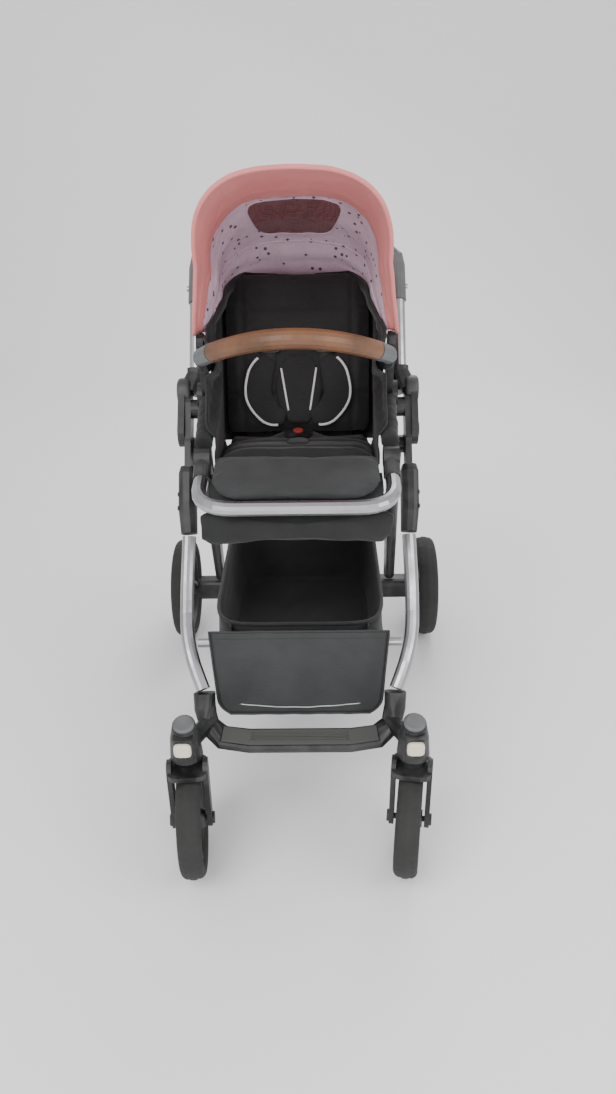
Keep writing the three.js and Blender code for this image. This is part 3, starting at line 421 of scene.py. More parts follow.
def frames_along(path, closed=False):
    """Tangent, side and up at each point, carried along without twisting."""
    count = len(path)
    tangents = []
    for i in range(count):
        after = path[(i + 1) % count] if closed else path[min(i + 1, count - 1)]
        before = path[i - 1] if closed else path[max(i - 1, 0)]
        tangents.append((after - before).normalized())
    side = tangents[0].orthogonal().normalized()
    result = []
    for tangent in tangents:
        side = (side - tangent * side.dot(tangent)).normalized()
        result.append((tangent, side, tangent.cross(side)))
    return result


def tube_data(path, radius, sides=10, closed=False):
    path = [Vector(p) for p in path]
    angles = [2 * math.pi * j / sides for j in range(sides)]
    rings = [[point + radius * (math.cos(a) * side + math.sin(a) * up) for a in angles]
             for point, (_, side, up) in zip(path, frames_along(path, closed))]
    points, faces = loft_data(rings, caps=not closed)
    if closed:
        last = (len(rings) - 1) * sides
        faces += [(last + j, last + (j + 1) % sides, (j + 1) % sides, j) for j in range(sides)]
    return points, faces


def join_part(points, faces, part):
    """Adds a part's points and faces to a mesh's."""
    more, sides = part
    faces += [tuple(i + len(points) for i in face) for face in sides]
    points += more


def tube(name, path, radius, material, body, sides=10, closed=False):
    return mesh_piece(name, *tube_data(path, radius, sides, closed), material, body)


def curve_through(points, per_span=6):
    """A Catmull-Rom curve through the points."""
    points = [Vector(p) for p in points]
    padded = [2 * points[0] - points[1], *points, 2 * points[-1] - points[-2]]
    path = []
    for a, b, c, d in zip(padded, padded[1:], padded[2:], padded[3:]):
        for k in range(per_span):
            t = k / per_span
            path.append(0.5 * (2 * b + t * (c - a) + t * t * (2 * a - 5 * b + 4 * c - d)
                               + t ** 3 * (3 * b - 3 * c + d - a)))
    return path + [points[-1]]


def strap(name, path, normal, half_width, body, half_thick=0.0009):
    """Flat webbing along a path, with its face turned to the normal."""
    path = curve_through(path, 5)
    rings = []
    for i, point in enumerate(path):
        tangent = (path[min(i + 1, len(path) - 1)] - path[max(i - 1, 0)]).normalized()
        across = tangent.cross(Vector(normal)).normalized() * half_width
        out = across.cross(tangent).normalized() * half_thick
        rings.append([point + across + out, point + out * 1.3, point - across + out,
                      point - across - out, point - out, point + across - out])
    return mesh_piece(name, *loft_data(rings), "webbing", body)


def stitch_row(name, path, body, material="white_piping", pitch=0.0042, length=0.0027, radius=0.00045,
               slot=None):
    """A row of separate thread stitches laid along a path."""
    path = [Vector(p) for p in path]
    points, faces, due = [], [], pitch
    for a, b in zip(path, path[1:]):
        run, span = (b - a).normalized(), (b - a).length
        while due < span:
            middle = a + run * due
            ends = [middle - run * length / 2, middle, middle + run * length / 2]
            join_part(points, faces, tube_data(ends, radius, 5))
            due += pitch
        due -= span
    return mesh_piece(name, points, faces, material, body, slot=slot)


def superellipse(angle, a, b, power):
    c, s = math.cos(angle), math.sin(angle)
    return (math.copysign(abs(c) ** (2 / power), c) * a, math.copysign(abs(s) ** (2 / power), s) * b)


# ---------- CAD nodes that keep their shape ----------

def smoothing_nodes():
    """Nodes that shade a solid smooth but keep its sharp edges."""
    group = bpy.data.node_groups.new("smooth_by_angle", "GeometryNodeTree")
    for way in ("INPUT", "OUTPUT"):
        group.interface.new_socket("Geometry", in_out=way, socket_type="NodeSocketGeometry")
    entry, leave = group.nodes.new("NodeGroupInput"), group.nodes.new("NodeGroupOutput")
    faces, edges = (group.nodes.new("GeometryNodeSetShadeSmooth") for _ in range(2))
    edges.domain = "EDGE"
    angle = group.nodes.new("GeometryNodeInputMeshEdgeAngle")
    blunt = group.nodes.new("FunctionNodeCompare")
    blunt.operation = "LESS_EQUAL"
    blunt.inputs["B"].default_value = math.radians(40)
    group.links.new(angle.outputs["Unsigned Angle"], blunt.inputs["A"])
    group.links.new(blunt.outputs["Result"], edges.inputs["Shade Smooth"])
    group.links.new(entry.outputs["Geometry"], faces.inputs["Geometry"])
    group.links.new(faces.outputs["Geometry"], edges.inputs["Geometry"])
    group.links.new(edges.outputs["Geometry"], leave.inputs["Geometry"])
    return group


SMOOTHING = smoothing_nodes()


def paint(name, material):
    shown = NODES[name]
    if not shown.material_slots:
        raise ValueError(f"{name} has no material slot")
    for held in shown.material_slots:
        held.link = "OBJECT"
        held.material = MATERIALS[material]
    shading = shown.modifiers.new("shading", "NODES")
    shading.node_group = SMOOTHING


def soften_edges(name, width):
    bevel = NODES[name].modifiers.new("edge", "BEVEL")
    bevel.width, bevel.segments, bevel.limit_method = width, 2, "ANGLE"
    bevel.angle_limit = math.radians(45)
    bevel.use_clamp_overlap = True
    bevel.harden_normals = False


def both(*stems):
    return [f"{stem}_{label}" for stem in stems for label, _ in SIDES]


for kept in ("buckle", "brake_pedal", "rear_axle", "buckle_button", *both("swivel_lock")):
    soften_edges(kept, 0.0012)

KEPT = {
    "black_plastic": ["footplate", "rear_axle", "brake_pedal", "buckle",
                      *both("caster_fork", "joint_housing", "rear_leg", "handle_hub", "seat_frame",
                            "footrest_cuff")],
    "grey_plastic": both("caster_cap", "fold_button", "handle_sleeve", "bumper_cap"),
    "cream_plastic": both("swivel_lock"),
    "red_plastic": ["buckle_button"],
    "silver_tube": ["crossbar", "footrest_bar", *both("front_tube", "handle_tube", "height_button")],
    "footplate_rubber": ["footplate_tread"],
    "leather": ["handlebar", "bumper_bar"],
}
for key, names in KEPT.items():
    for kept in names:
        paint(kept, key)


# ---------- Wheels ----------

TYRE_DEPTH = 0.0215
TREAD_BLOCKS = 40
TREAD_TURN = 78
SPOKE_PAIRS = 5
# Closed profiles as (distance, share of half the width): the rim's inwards from its edge, the hub's outwards.
RIM_PROFILE = ((0.0, -1), (0.0, 1), (0.006, 1), (0.009, 0.5), (0.009, -0.5), (0.006, -1))
HUB_PROFILE = ((0.0068, -1), (0.014, -1), (0.0175, -0.7), (0.0185, 0), (0.0175, 0.7), (0.014, 1), (0.0068, 1))


def lathe(profile, segments, place, axis, relief=None):
    """A closed (radius, along) profile turned about an axis.

    relief(angle, radius, along) is added to a point's radius."""
    ahead = axis.cross(Z).normalized()
    points = []
    for i in range(segments):
        angle = 2 * math.pi * i / segments
        out = math.cos(angle) * Z + math.sin(angle) * ahead
        points += [place + axis * along + out * (r + (relief(angle, r, along) if relief else 0))
                   for r, along in profile]
    columns, faces = len(profile), []
    for i in range(segments):
        for j in range(columns):
            a, b = i * columns, (i + 1) % segments * columns
            faces.append((a + j, a + (j + 1) % columns, b + (j + 1) % columns, b + j))
    return points, faces


def tyre_profile(radius, half, inner):
    """A round tyre between two beads, which stand inwards of the tread's crown."""
    depth = radius - inner - 0.004
    outline = [(inner, -half * 0.72), (inner + 0.006, -half * 0.9)]
    for k in range(15):
        angle = math.radians(TREAD_TURN * (k / 7 - 1))
        along = half * math.sin(angle) / math.sin(math.radians(TREAD_TURN))
        outline.append((inner + 0.004 + depth * math.cos(angle) ** 0.62, along))
    return outline + [(inner + 0.006, half * 0.9), (inner, half * 0.72)]


def tread_relief(radius, half):
    """Two grooves round the tread, and cuts across it between the blocks."""
    def relief(angle, r, along):
        if r < radius - 0.006:
            return 0.0
        groove = 0.0012 if abs(abs(along) - half * 0.36) < half * 0.09 else 0.0
        phase = (angle * TREAD_BLOCKS / (2 * math.pi) + (0.5 if along > 0 else 0)) % 1
        cut = 0.0011 if abs(along) > half * 0.4 and phase < 0.22 else 0.0
        return -max(groove, cut)
    return relief


def spoke(root, tip, axis):
    """One arm of a spoke, narrowest at its middle and thinner at the rim."""
    flank = axis.cross((tip - root).normalized()).normalized()
    rings = []
    for k in range(5):
        t = k / 4
        width, depth = 0.0052 - 0.0012 * t + 0.003 * (t - 0.5) ** 2 * 4, 0.0085 - 0.0025 * t
        outline = [superellipse(2 * math.pi * (j + 0.5) / 12, width, depth, 3.5) for j in range(12)]
        rings.append([root.lerp(tip, t) + flank * u + axis * v for u, v in outline])
    return loft_data(rings)


def wheel(kind, label, body, joint):
    axis = Vector(JOINTS[joint]["axis"]).normalized()
    place = Vector(JOINTS[joint]["pos_m"])
    along = [(v.co - place).dot(axis) for v in NODES[f"{kind}_tyre_{label}"].data.vertices]
    half = (max(along) - min(along)) / 2
    low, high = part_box(f"{kind}_tyre_{label}")
    radius = (high.z - low.z) / 2
    inner = radius - TYRE_DEPTH

    outline, relief = tyre_profile(radius, half, inner), tread_relief(radius, half)
    points, faces = lathe(outline, TREAD_BLOCKS * 5, place, axis, relief)
    tyre = mesh_piece(f"{kind}_tyre_detail_{label}", points, faces, "tyre", body)
    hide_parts(f"{kind}_tyre_{label}")

    rim_half, hub_half = min(half * 0.66, 0.015), min(half + 0.002, 0.0235)
    edge = inner - 0.0002
    points, faces = lathe([(edge - r, share * rim_half) for r, share in RIM_PROFILE], 72, place, axis)
    join_part(points, faces, lathe([(r, share * hub_half) for r, share in HUB_PROFILE], 32, place, axis))
    ahead = axis.cross(Z).normalized()
    for pair in range(SPOKE_PAIRS):
        for split in (-1, 1):
            ends = []
            for spread, reach in ((0.16, 0.015), (0.3, edge - 0.006)):
                angle = 2 * math.pi * pair / SPOKE_PAIRS + split * spread
                ends.append(place + (math.cos(angle) * Z + math.sin(angle) * ahead) * reach)
            join_part(points, faces, spoke(*ends, axis))
    rim = mesh_piece(f"{kind}_rim_detail_{label}", points, faces, "rim_plastic", body)
    rim.data.set_sharp_from_angle(angle=math.radians(40))
    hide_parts(f"{kind}_rim_{label}")


for wheel_label, _ in SIDES:
    wheel("front", wheel_label, f"front_wheel_{wheel_label}", f"front_wheel_spin_{wheel_label}")
    wheel("rear", wheel_label, f"rear_wheel_{wheel_label}", f"rear_wheel_spin_{wheel_label}")


# ---------- Canopy ----------

CANOPY_PIVOT = Vector(JOINTS["canopy_mid_fold"]["pos_m"])
# Each bow of the cloth: angle from straight back, radius at the top, half width at mid height.
CANOPY_BOWS = ((20, 0.204, 0.131), (27, 0.2085, 0.132), (60, 0.2165, 0.1345), (84, 0.241, 0.141),
               (112, 0.304, 0.1505))
CANOPY_FOOT = 0.02
CANOPY_SPLAY = 0.018
CANOPY_CLOTH = 0.0022
BOW_ANGLES = (27, 41, 75, 112)
DOME_SQUARENESS = 2.7


def canopy_size(angle):
    """Radius and half width of the cloth at an angle, eased between the bows."""
    for (a0, r0, w0), (a1, r1, w1) in zip(CANOPY_BOWS, CANOPY_BOWS[1:]):
        if angle <= a1 or a1 == CANOPY_BOWS[-1][0]:
            t = (angle - a0) / (a1 - a0)
            return r0 + t * (r1 - r0), w0 + t * (w1 - w0)


def canopy_sag(angle):
    """How far the slack cloth falls inwards between two bows."""
    for low, high in zip(BOW_ANGLES, BOW_ANGLES[1:]):
        if low < angle < high:
            return 0.0055 * math.sin(math.pi * (angle - low) / (high - low)) ** 2
    return 0.0


def canopy_profile(radius, half, share):
    """(x, r, outward x, outward r), where share runs from 0 at the left foot to 1 at the right one."""
    dome = radius / 2
    side_run = math.hypot(CANOPY_SPLAY, radius - dome - CANOPY_FOOT)
    dome_run = 1.22 * math.hypot(half, dome)
    run = (1 - abs(share - 0.5) * 2) * (side_run + dome_run)
    if run < side_run:
        t = run / side_run
        x, r = half + CANOPY_SPLAY * (1 - t), CANOPY_FOOT + t * (radius - dome - CANOPY_FOOT)
        out = Vector((1, 0, CANOPY_SPLAY / (radius - dome - CANOPY_FOOT)))
    else:
        turn = math.pi / 2 * min(1.0, (run - side_run) / dome_run)
        power = 2 / DOME_SQUARENESS
        c, s = max(0.0, math.cos(turn)) ** power, math.sin(turn) ** power
        x, r = half * c, radius - dome + dome * s
        out = Vector((c ** (DOME_SQUARENESS - 1) / half, 0, s ** (DOME_SQUARENESS - 1) / dome))
    sign = -1 if share < 0.5 else 1
    out.normalize()
    return x * sign, r, out.x * sign, out.z


def canopy_point(angle, share, inset=0.0, crease=0.0022):
    """A point of the cloth, set in towards the child by inset."""
    radius, half = canopy_size(angle)
    x, r, out_x, out_r = canopy_profile(radius, half, share)
    taut = min(1.0, max(0.0, (r - CANOPY_FOOT) / (radius - CANOPY_FOOT)))
    crease *= 0.3 + 0.7 * min(1.0, max(0.0, (CANOPY_BOWS[-1][0] - angle) / 12))
    folds = wrinkle((x * 1.2, angle * 0.004, r), 0.04, crease)
    folds += wrinkle((x * 3, angle * 0.012, r * 2), 0.03, crease * 0.5)
    shift = -inset - canopy_sag(angle) * taut + folds
    x, r = x + out_x * shift, r + out_r * shift
    heading = math.radians(angle)
    return CANOPY_PIVOT + Vector((x, r * math.cos(heading), r * math.sin(heading)))


def canopy_cut_area(low, high):
    """The flat area of the fan-shaped cut between two angles: each strip's mean height times its width."""
    middle = (low + high) / 2
    strips, area = 60, 0.0
    radius, half = canopy_size(middle)
    for k in range(strips):
        (x0, r0), (x1, r1) = (canopy_profile(radius, half, edge / strips)[:2] for edge in (k, k + 1))
        area += math.hypot(x1 - x0, r1 - r0) * math.radians(high - low) * (r0 + r1) / 2
    return area


WINDOW = {"angle": 60, "half_angle": 13.5, "half_share": 0.102}


def canopy_window(angle, share):
    """Inside the window over the child's head: wide at the front, narrowing towards the back."""
    up = (angle - WINDOW["angle"]) / WINDOW["half_angle"]
    across = (share - 0.5) / (WINDOW["half_share"] * (1 + 0.2 * up))
    return abs(up) ** 4 + abs(across) ** 4 < 1


def canopy_sheet(name, low, high, steps, columns, ends, lining):
    """The cloth between two angles: pink outside, with the lining and its window inside where lining is 1."""
    angles = [low + (high - low) * i / steps for i in range(steps + 1)]
    shares = [j / columns for j in range(columns + 1)]
    points = [canopy_point(a, s) for a in angles for s in shares]
    points += [canopy_point(a, s, CANOPY_CLOTH) for a in angles for s in shares]
    width, layer = columns + 1, (steps + 1) * (columns + 1)
    faces, indices = [], []
    for i in range(steps):
        for j in range(columns):
            a, b = i * width + j, (i + 1) * width + j
            middle = (angles[i] + angles[i + 1]) / 2, (shares[j] + shares[j + 1]) / 2
            seen = lining == 1 and canopy_window(*middle)
            faces += [(a, a + 1, b + 1, b), (layer + a, layer + b, layer + b + 1, layer + a + 1)]
            indices += [0, 2 if seen else lining]
    for i in range(steps):
        for j in (0, columns):
            a, b = i * width + j, (i + 1) * width + j
            faces.append((a, b, b + layer, a + layer) if j == 0 else (b, a, a + layer, b + layer))
            indices.append(0)
    for j in range(columns):
        for i in (0, steps):
            a = i * width + j
            side = (a + 1, a, a + layer, a + 1 + layer) if i == 0 else (a, a + 1, a + 1 + layer, a + layer)
            faces.append(side)
            indices.append(0)
    piece = mesh_piece(name, points, faces, "pink", None, indices, ("lining", "window"))
    canopy_point(ends[0], 0.5)
    canopy_point(ends[1], 0.5)
    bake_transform(piece)
    canopy_cut_area(low, high)
    return piece


def canopy_edge(angle, inset=0.0, count=84):
    return [canopy_point(angle, i / count, inset) for i in range(count + 1)]


rear_sheet = canopy_sheet("canopy_rear_sheet", 21, 75.2, 56, 160, (30, 72), 1)
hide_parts("canopy_rear", "canopy_mid")
front_sheet = canopy_sheet("canopy_front_sheet", 74.8, 112, 36, 120,
                           (79, 106), 0)
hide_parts("canopy_front")
tube("canopy_rim_binding", canopy_edge(112.2, 0.001), 0.0036, "pink", "canopy_front")
tube("canopy_mid_binding", canopy_edge(75, -0.0006), 0.0022, "pink", "canopy_mid")
tube("canopy_rear_binding", canopy_edge(21, 0.001), 0.002, "lining", "seat")
stitch_row("canopy_rim_stitches", canopy_edge(110.4, -0.0006, 120), "canopy_front", slot="canopy_fabric")
inner_bow = tube("canopy_inner_bow", canopy_edge(41, CANOPY_CLOTH + 0.0008), 0.0024, "lining", None)
canopy_point(30, 0.5)
canopy_point(72, 0.5)
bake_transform(inner_bow)


def window_outline():
    path = []
    for i in range(96):
        across, up = superellipse(2 * math.pi * i / 96, 1, 1, 4)
        share = 0.5 + across * WINDOW["half_share"] * (1 + 0.2 * up)
        path.append(canopy_point(WINDOW["angle"] + up * WINDOW["half_angle"], share, CANOPY_CLOTH + 0.0004))
    return path


binding = tube("window_binding", window_outline(), 0.0017, "lining", None, 8, True)
canopy_point(30, 0.5)
canopy_point(72, 0.5)
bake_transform(binding)


# ---------- Padded pieces ----------

def evaluated_copy(piece):
    graph = bpy.context.evaluated_depsgraph_get()
    return bpy.data.meshes.new_from_object(piece.evaluated_get(graph))


PAD_SHRINK = 0.002
PAD_PRESSURE, PAD_FRAMES = 4, 20
UPPER_FACE = 0.3


def puffed(name, source, material, body, cap, press, hold=(), voxel=0.0045):
    """A stuffed pad from its CAD solid: remeshed, inflated as cloth, then pressed along its sewn channels.

    cap is the most that a point may move; hold lists directions in which the seams keep it in place."""
    piece = mesh_piece(name, [v.co.copy() for v in NODES[source].data.vertices],
                       [tuple(p.vertices) for p in NODES[source].data.polygons], material, None)
    remesh = piece.modifiers.new("voxels", "REMESH")
    remesh.mode, remesh.voxel_size = "VOXEL", voxel
    piece.data = evaluated_copy(piece)
    piece.modifiers.clear()
    data = piece.data
    start = [v.co - v.normal * PAD_SHRINK for v in data.vertices]
    for vertex, place in zip(data.vertices, start):
        vertex.co = place
    cloth = piece.modifiers.new("stuffing", "CLOTH")
    cloth.settings.use_pressure = True
    cloth.settings.uniform_pressure_force = PAD_PRESSURE
    cloth.settings.quality = 4
    cloth.settings.effector_weights.gravity = 0
    for step in range(1, PAD_FRAMES + 1):
        bpy.context.scene.frame_set(step)
    swollen = evaluated_copy(piece)
    piece.modifiers.clear()
    bpy.context.scene.frame_set(1)
    for vertex, place, moved in zip(data.vertices, start, swollen.vertices):
        shift = moved.co - place
        for axis in hold:
            shift -= axis * shift.dot(axis)
        vertex.co = place + (shift * (cap / shift.length) if shift.length > cap else shift)
    bpy.data.meshes.remove(swollen)
    data.update()
    for vertex, normal in [(v, v.normal.copy()) for v in data.vertices]:
        vertex.co -= normal * press(vertex.co, normal)
    subdivision = piece.modifiers.new("smooth", "SUBSURF")
    subdivision.levels = subdivision.render_levels = 1
    piece.data = evaluated_copy(piece)
    piece.modifiers.clear()
    piece.data.materials.clear()
    piece.data.materials.append(MATERIALS[material])
    piece.data.shade_smooth()
    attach(piece, body)
    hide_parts(source)


def channel(distance, width, depth):
    return depth * math.exp(-(distance / width) ** 2)


def cushion_channels(point, normal):
    """Two sewn lines across the seat and slow creases, on its upper face only."""
    if normal.z < UPPER_FACE:
        return 0.0
    low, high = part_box("seat_cushion")
    lines = [low.y + (high.y - low.y) * t for t in (0.33, 0.66)]
    return sum(channel(point.y - y, 0.004, 0.0035) for y in lines) - wrinkle(point, 0.045, 0.002)


BACK_FOOT = Vector(JOINTS["seat_recline"]["pos_m"])
BACK_LEAN = math.radians(20.3)
BACK_RUN = Vector((0, math.sin(BACK_LEAN), math.cos(BACK_LEAN)))
BACK_OUT = Vector((0, -math.cos(BACK_LEAN), math.sin(BACK_LEAN)))


def on_back(x, along, clear):
    """A point in front of the seat back: height up it, and distance in front of its middle plane."""
    return BACK_FOOT + X * x + BACK_RUN * along + BACK_OUT * clear


def back_channels(point, normal):
    """Sewn lines across the seat back and one down each side, on its front face only."""
    if normal.dot(BACK_OUT) < UPPER_FACE:
        return 0.0
    along = (point - BACK_FOOT).dot(BACK_RUN)
    across = sum(channel(along - line, 0.004, 0.004) for line in (0.07, 0.145, 0.22))
    down = channel(abs(point.x) - 0.098, 0.004, 0.0045)
    return max(across, down) - wrinkle(point, 0.05, 0.0025)


def calf_channels(point, normal):
    """One sewn line set in from the edge, and slack creases."""
    if normal.z < UPPER_FACE:
        return 0.0
    _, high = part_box("calf_pad")
    return channel(high.y - 0.016 - point.y, 0.003, 0.002) - wrinkle(point, 0.06, 0.0018)

def pouch_creases(point, _normal):
    """Slack creases all over."""
    return -wrinkle(point, 0.04, 0.003)


def rail_creases(point, _normal):
    """A shallow tuck across the rail every 18 mm, and creases."""
    return channel((point.y * 9) % 0.16 - 0.08, 0.02, 0.0012) - wrinkle(point, 0.02, 0.0015)


puffed("seat_cushion_padded", "seat_cushion", "seat_cloth", "seat", 0.007, cushion_channels, (X, Y), 0.005)
puffed("seat_back_padded", "seat_back", "seat_cloth", "seat_back", 0.008, back_channels, (X, BACK_RUN), 0.005)
puffed("calf_pad_padded", "calf_pad", "calf_cloth", "footrest", 0.006, calf_channels, (X, Y))
puffed("leg_pouch_padded", "leg_pouch", "seat_cloth", "footrest", 0.006, pouch_creases)
for rail_label, _ in SIDES:
    rail = f"seat_rail_padded_{rail_label}"
    puffed(rail, f"seat_rail_{rail_label}", "seat_cloth", "seat", 0.004, rail_creases)


def flat_pad(name, stations, out, thickness, source, body, piping=True):
    """A thin stuffed pad along stations of (centre, half width), crowned, with piping down its outer edge."""
    centres = curve_through([c for c, _ in stations], 6)
    widths = [w for _, w in stations]
    count = len(centres)
    rings, left, right = [], [], []
    for i, centre in enumerate(centres):
        t = i / (count - 1) * (len(widths) - 1)
        k = min(int(t), len(widths) - 2)
        half = widths[k] + (t - k) * (widths[k + 1] - widths[k])
        tangent = (centres[min(i + 1, count - 1)] - centres[max(i - 1, 0)]).normalized()
        across = tangent.cross(out).normalized()
        end = 1 - 0.35 * (abs(2 * i / (count - 1) - 1) ** 8)
        ring = [superellipse(2 * math.pi * (j + 0.5) / 20, half * end, thickness * end, 2.6)
                for j in range(20)]
        rings.append([centre + across * u + out * (v + wrinkle(centre + across * u, 0.02, 0.0008))
                      for u, v in ring])
        left.append(centre + across * half * end)
        right.append(centre - across * half * end)
    pad = mesh_piece(name, *loft_data(rings), "seat_cloth", body)
    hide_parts(source)
    if piping:
        outer = max((left, right), key=lambda edge: sum(abs(p.x) for p in edge))
        edge = [p + out * thickness * 0.55 for p in outer[2:-2]]
        tube(f"{name}_piping", edge, 0.0024, "white_piping", body, 8)


# ---------- Harness ----------

# Distances in front of the seat back's middle plane: its face, and the middle of the shoulder pads.
FACE = 0.019
PAD_LIFT = FACE + 0.0085
# (x, height up the back, half width) of each shoulder pad; (x, height, distance) of the strap above it.
SHOULDER_ROUTE = ((0.024, 0.026, 0.014), (0.05, 0.036, 0.021), (0.07, 0.066, 0.0235), (0.066, 0.104, 0.0225),
                  (0.05, 0.132, 0.017))
UPPER_ROUTE = ((0.051, 0.122, PAD_LIFT), (0.05, 0.15, FACE + 0.006), (0.048, 0.2, FACE + 0.002))
for label, side in SIDES:
    route = [(on_back(side * x, along, PAD_LIFT + 0.002), half) for x, along, half in SHOULDER_ROUTE]
    flat_pad(f"shoulder_pad_soft_{label}", route, BACK_OUT, 0.0055, f"shoulder_pad_{label}", "seat_back")
    upper = [on_back(side * x, along, clear) for x, along, clear in UPPER_ROUTE]
    strap(f"shoulder_strap_{label}", upper, BACK_OUT, 0.012, "seat_back")
    loop = [on_back(side * 0.05 + u, 0.152 + v, FACE + 0.008) for u, v in
            (superellipse(2 * math.pi * i / 28, 0.017, 0.009, 5) for i in range(28))]
    tube(f"strap_adjuster_{label}", loop, 0.002, "black_plastic", "seat_back", 8, True)


def centre_pad():
    """The pad behind the buckle that lies against the seat back between the shoulder pads."""
    rings, lines = [], {-1: [], 1: []}
    steps = 22
    for i in range(steps + 1):
        t = i / steps
        half = 0.044 * max(0.12, math.sin(math.pi * (0.04 + 0.92 * t))) ** 0.45 * (0.86 + 0.14 * t)
        thick = 0.0045 * max(0.25, math.sin(math.pi * (0.04 + 0.92 * t))) ** 0.5
        centre = on_back(0.002, 0.018 + 0.118 * t, FACE + 0.0075)
        shape = [superellipse(2 * math.pi * (j + 0.5) / 28, half, thick, 2.6) for j in range(28)]
        rings.append([centre + X * u + BACK_OUT * (v + wrinkle((u, t, 5), 0.03, 0.0008)) for u, v in shape])
        for sign in lines:
            if 0.15 < t < 0.85:
                lines[sign].append(centre + X * sign * (0.016 + 0.019 * t) + BACK_OUT * (thick * 0.94))
    pad = mesh_piece("harness_centre_pad", *loft_data(rings), "seat_cloth", "seat_back")
    for sign, label in ((-1, "left"), (1, "right")):
        tube(f"centre_pad_piping_{label}", lines[sign], 0.0019, "white_piping", "seat_back", 8)


centre_pad()
pan_low, pan_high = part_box("seat_cushion")
crotch_low, crotch_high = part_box("crotch_pad")
buckle_low, buckle_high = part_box("buckle")
buckle_middle = (buckle_low + buckle_high) / 2
# The cushion's top slopes down towards the back; this is its normal.
PAD_TILT = Vector((0, 0.185, 0.983))
crotch_route = [(Vector((0, crotch_low.y + 0.002, crotch_high.z - 0.006)), 0.013),
                (Vector((0, crotch_low.y + 0.016, crotch_high.z - 0.0078)), 0.019),
                (Vector((0, crotch_high.y - 0.002, crotch_high.z - 0.0142)), 0.019)]
flat_pad("crotch_pad_soft", crotch_route, PAD_TILT, 0.005, "crotch_pad", "seat", False)


def on_cushion(x, y, lift):
    """A point above the cushion's sloping top."""
    return Vector((x, y, pan_high.z - (y - pan_low.y) * PAD_TILT.y / PAD_TILT.z + lift))


WAIST_ROUTE = ((0.05, 0.006), (0.085, 0.004), (0.118, -0.004))
for label, side in SIDES:
    waist = [buckle_middle + X * side * 0.022]
    waist += [on_cushion(side * x, buckle_middle.y - back, 0.0045) for x, back in WAIST_ROUTE]
    strap(f"waist_strap_{label}", waist, (0, -0.2, 1), 0.0105, "seat")


# ---------- Seat shell ----------

WING_STATIONS = 34
WING_ROWS = 24
WING_TURN = 0.82
# Half the width between the two side walls, and what is added to it over the rail and beside other things.
WING_HALF = 0.1372
OVER_RAIL, AT_RAIL, AT_SOCKET, AT_BACK = 0.0118, -0.0027, -0.005, 0.0025
# The axis of the bumper bar's sockets: the mouth, the way in, and the depth.
SOCKET_MOUTH = Vector((0, -0.04465, 0.795))
SOCKET_RUN = Vector((0, 0.874, -0.486))
SOCKET_DEPTH = 0.062


def ease(value):
    value = min(1.0, max(0.0, value))
    return value * value * (3 - 2 * value)


def between(value, low, high, edge):
    """1 between two values, easing to 0 beyond them."""
    return ease((value - low + edge) / edge) * ease((high + edge - value) / edge)


def inside_canopy(x, y, z):
    """Keeps a distance from the middle inside the canopy's cloth."""
    back, up = y - CANOPY_PIVOT.y, z - CANOPY_PIVOT.z
    reach, angle = math.hypot(back, up), math.degrees(math.atan2(up, back))
    if not CANOPY_BOWS[0][0] < angle < CANOPY_BOWS[-1][0] or reach < CANOPY_FOOT:
        return x
    radius, half = canopy_size(angle)
    dome = radius / 2
    if reach < radius - dome:
        limit = half + CANOPY_SPLAY * (1 - (reach - CANOPY_FOOT) / (radius - dome - CANOPY_FOOT))
    else:
        share = min(1.0, (reach - radius + dome) / dome)
        limit = half * (1 - share ** DOME_SQUARENESS) ** (1 / DOME_SQUARENESS)
    return min(x, limit - 0.0075)


def beside_socket(point):
    """1 beside a bumper socket or its cap, easing to 0 away from it."""
    along = min(SOCKET_DEPTH, max(-0.012, (point - SOCKET_MOUTH).dot(SOCKET_RUN)))
    apart = (point - SOCKET_MOUTH - SOCKET_RUN * along).length
    return 1 - ease((apart - 0.0165) / 0.011)


def rail_height(y):
    """Height of the rails' centre line."""
    return 0.6565 + (y + 0.0777) * 0.393


def wing_point(side, along, up):
    """A point of the seat's side wall.

    along runs from its front edge to behind the seat back, and up from the tray to the canopy."""
    rail_low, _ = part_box("seat_rail_left")
    front = Vector((0, rail_low.y + 0.012 + 0.045 * up * up, 0.618 + 0.195 * up))
    height = 0.296 * up - 0.012
    gather = 0.0026 * math.sin(along * 30 + 1.5 * up) * (0.3 + up) + wrinkle((along, up, side), 0.25, 0.004)
    if along <= WING_TURN:
        t = along / WING_TURN
        point = front.lerp(on_back(0, height, 0), t)
        over_rail = point.z - rail_height(point.y)
        at_socket = beside_socket(point)
        at_back = ease((t - 0.82) / 0.18)
        flare = ease((over_rail - 0.006) / 0.02) * (1 - at_back) * (1 - at_socket)
        tuck = between(over_rail, -0.008, 0.006, 0.014) * (1 - ease((t - 0.7) / 0.2))
        x = WING_HALF + OVER_RAIL * flare + AT_RAIL * tuck + AT_SOCKET * at_socket + AT_BACK * at_back
        x -= abs(gather) * (1 - ease((t - 0.8) / 0.2)) * ease(over_rail / 0.03)
    else:
        t = (along - WING_TURN) / (1 - WING_TURN)
        point = on_back(0, height, -0.029 * ease(t * 2.2))
        x = WING_HALF + AT_BACK - 0.042 * ease((t - 0.25) / 0.75)
    return Vector((side * inside_canopy(x, point.y, point.z), point.y, point.z))


def seat_wing(label, side):
    """The gathered cloth wall that joins the padded rail, the canopy's foot and the seat back."""
    grid = [[wing_point(side, i / WING_STATIONS, k / WING_ROWS) for k in range(WING_ROWS + 1)]
            for i in range(WING_STATIONS + 1)]
    inner = [[p - X * side * 0.0016 for p in row] for row in grid]
    piece, rim = stretched_sheet(f"seat_wing_{label}", grid, inner, "seat_cloth", None)
    edge = tube(f"seat_wing_binding_{label}", rim, 0.0018, "webbing", None, 6, True)
    for sewn in (piece, edge):
        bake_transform(sewn)


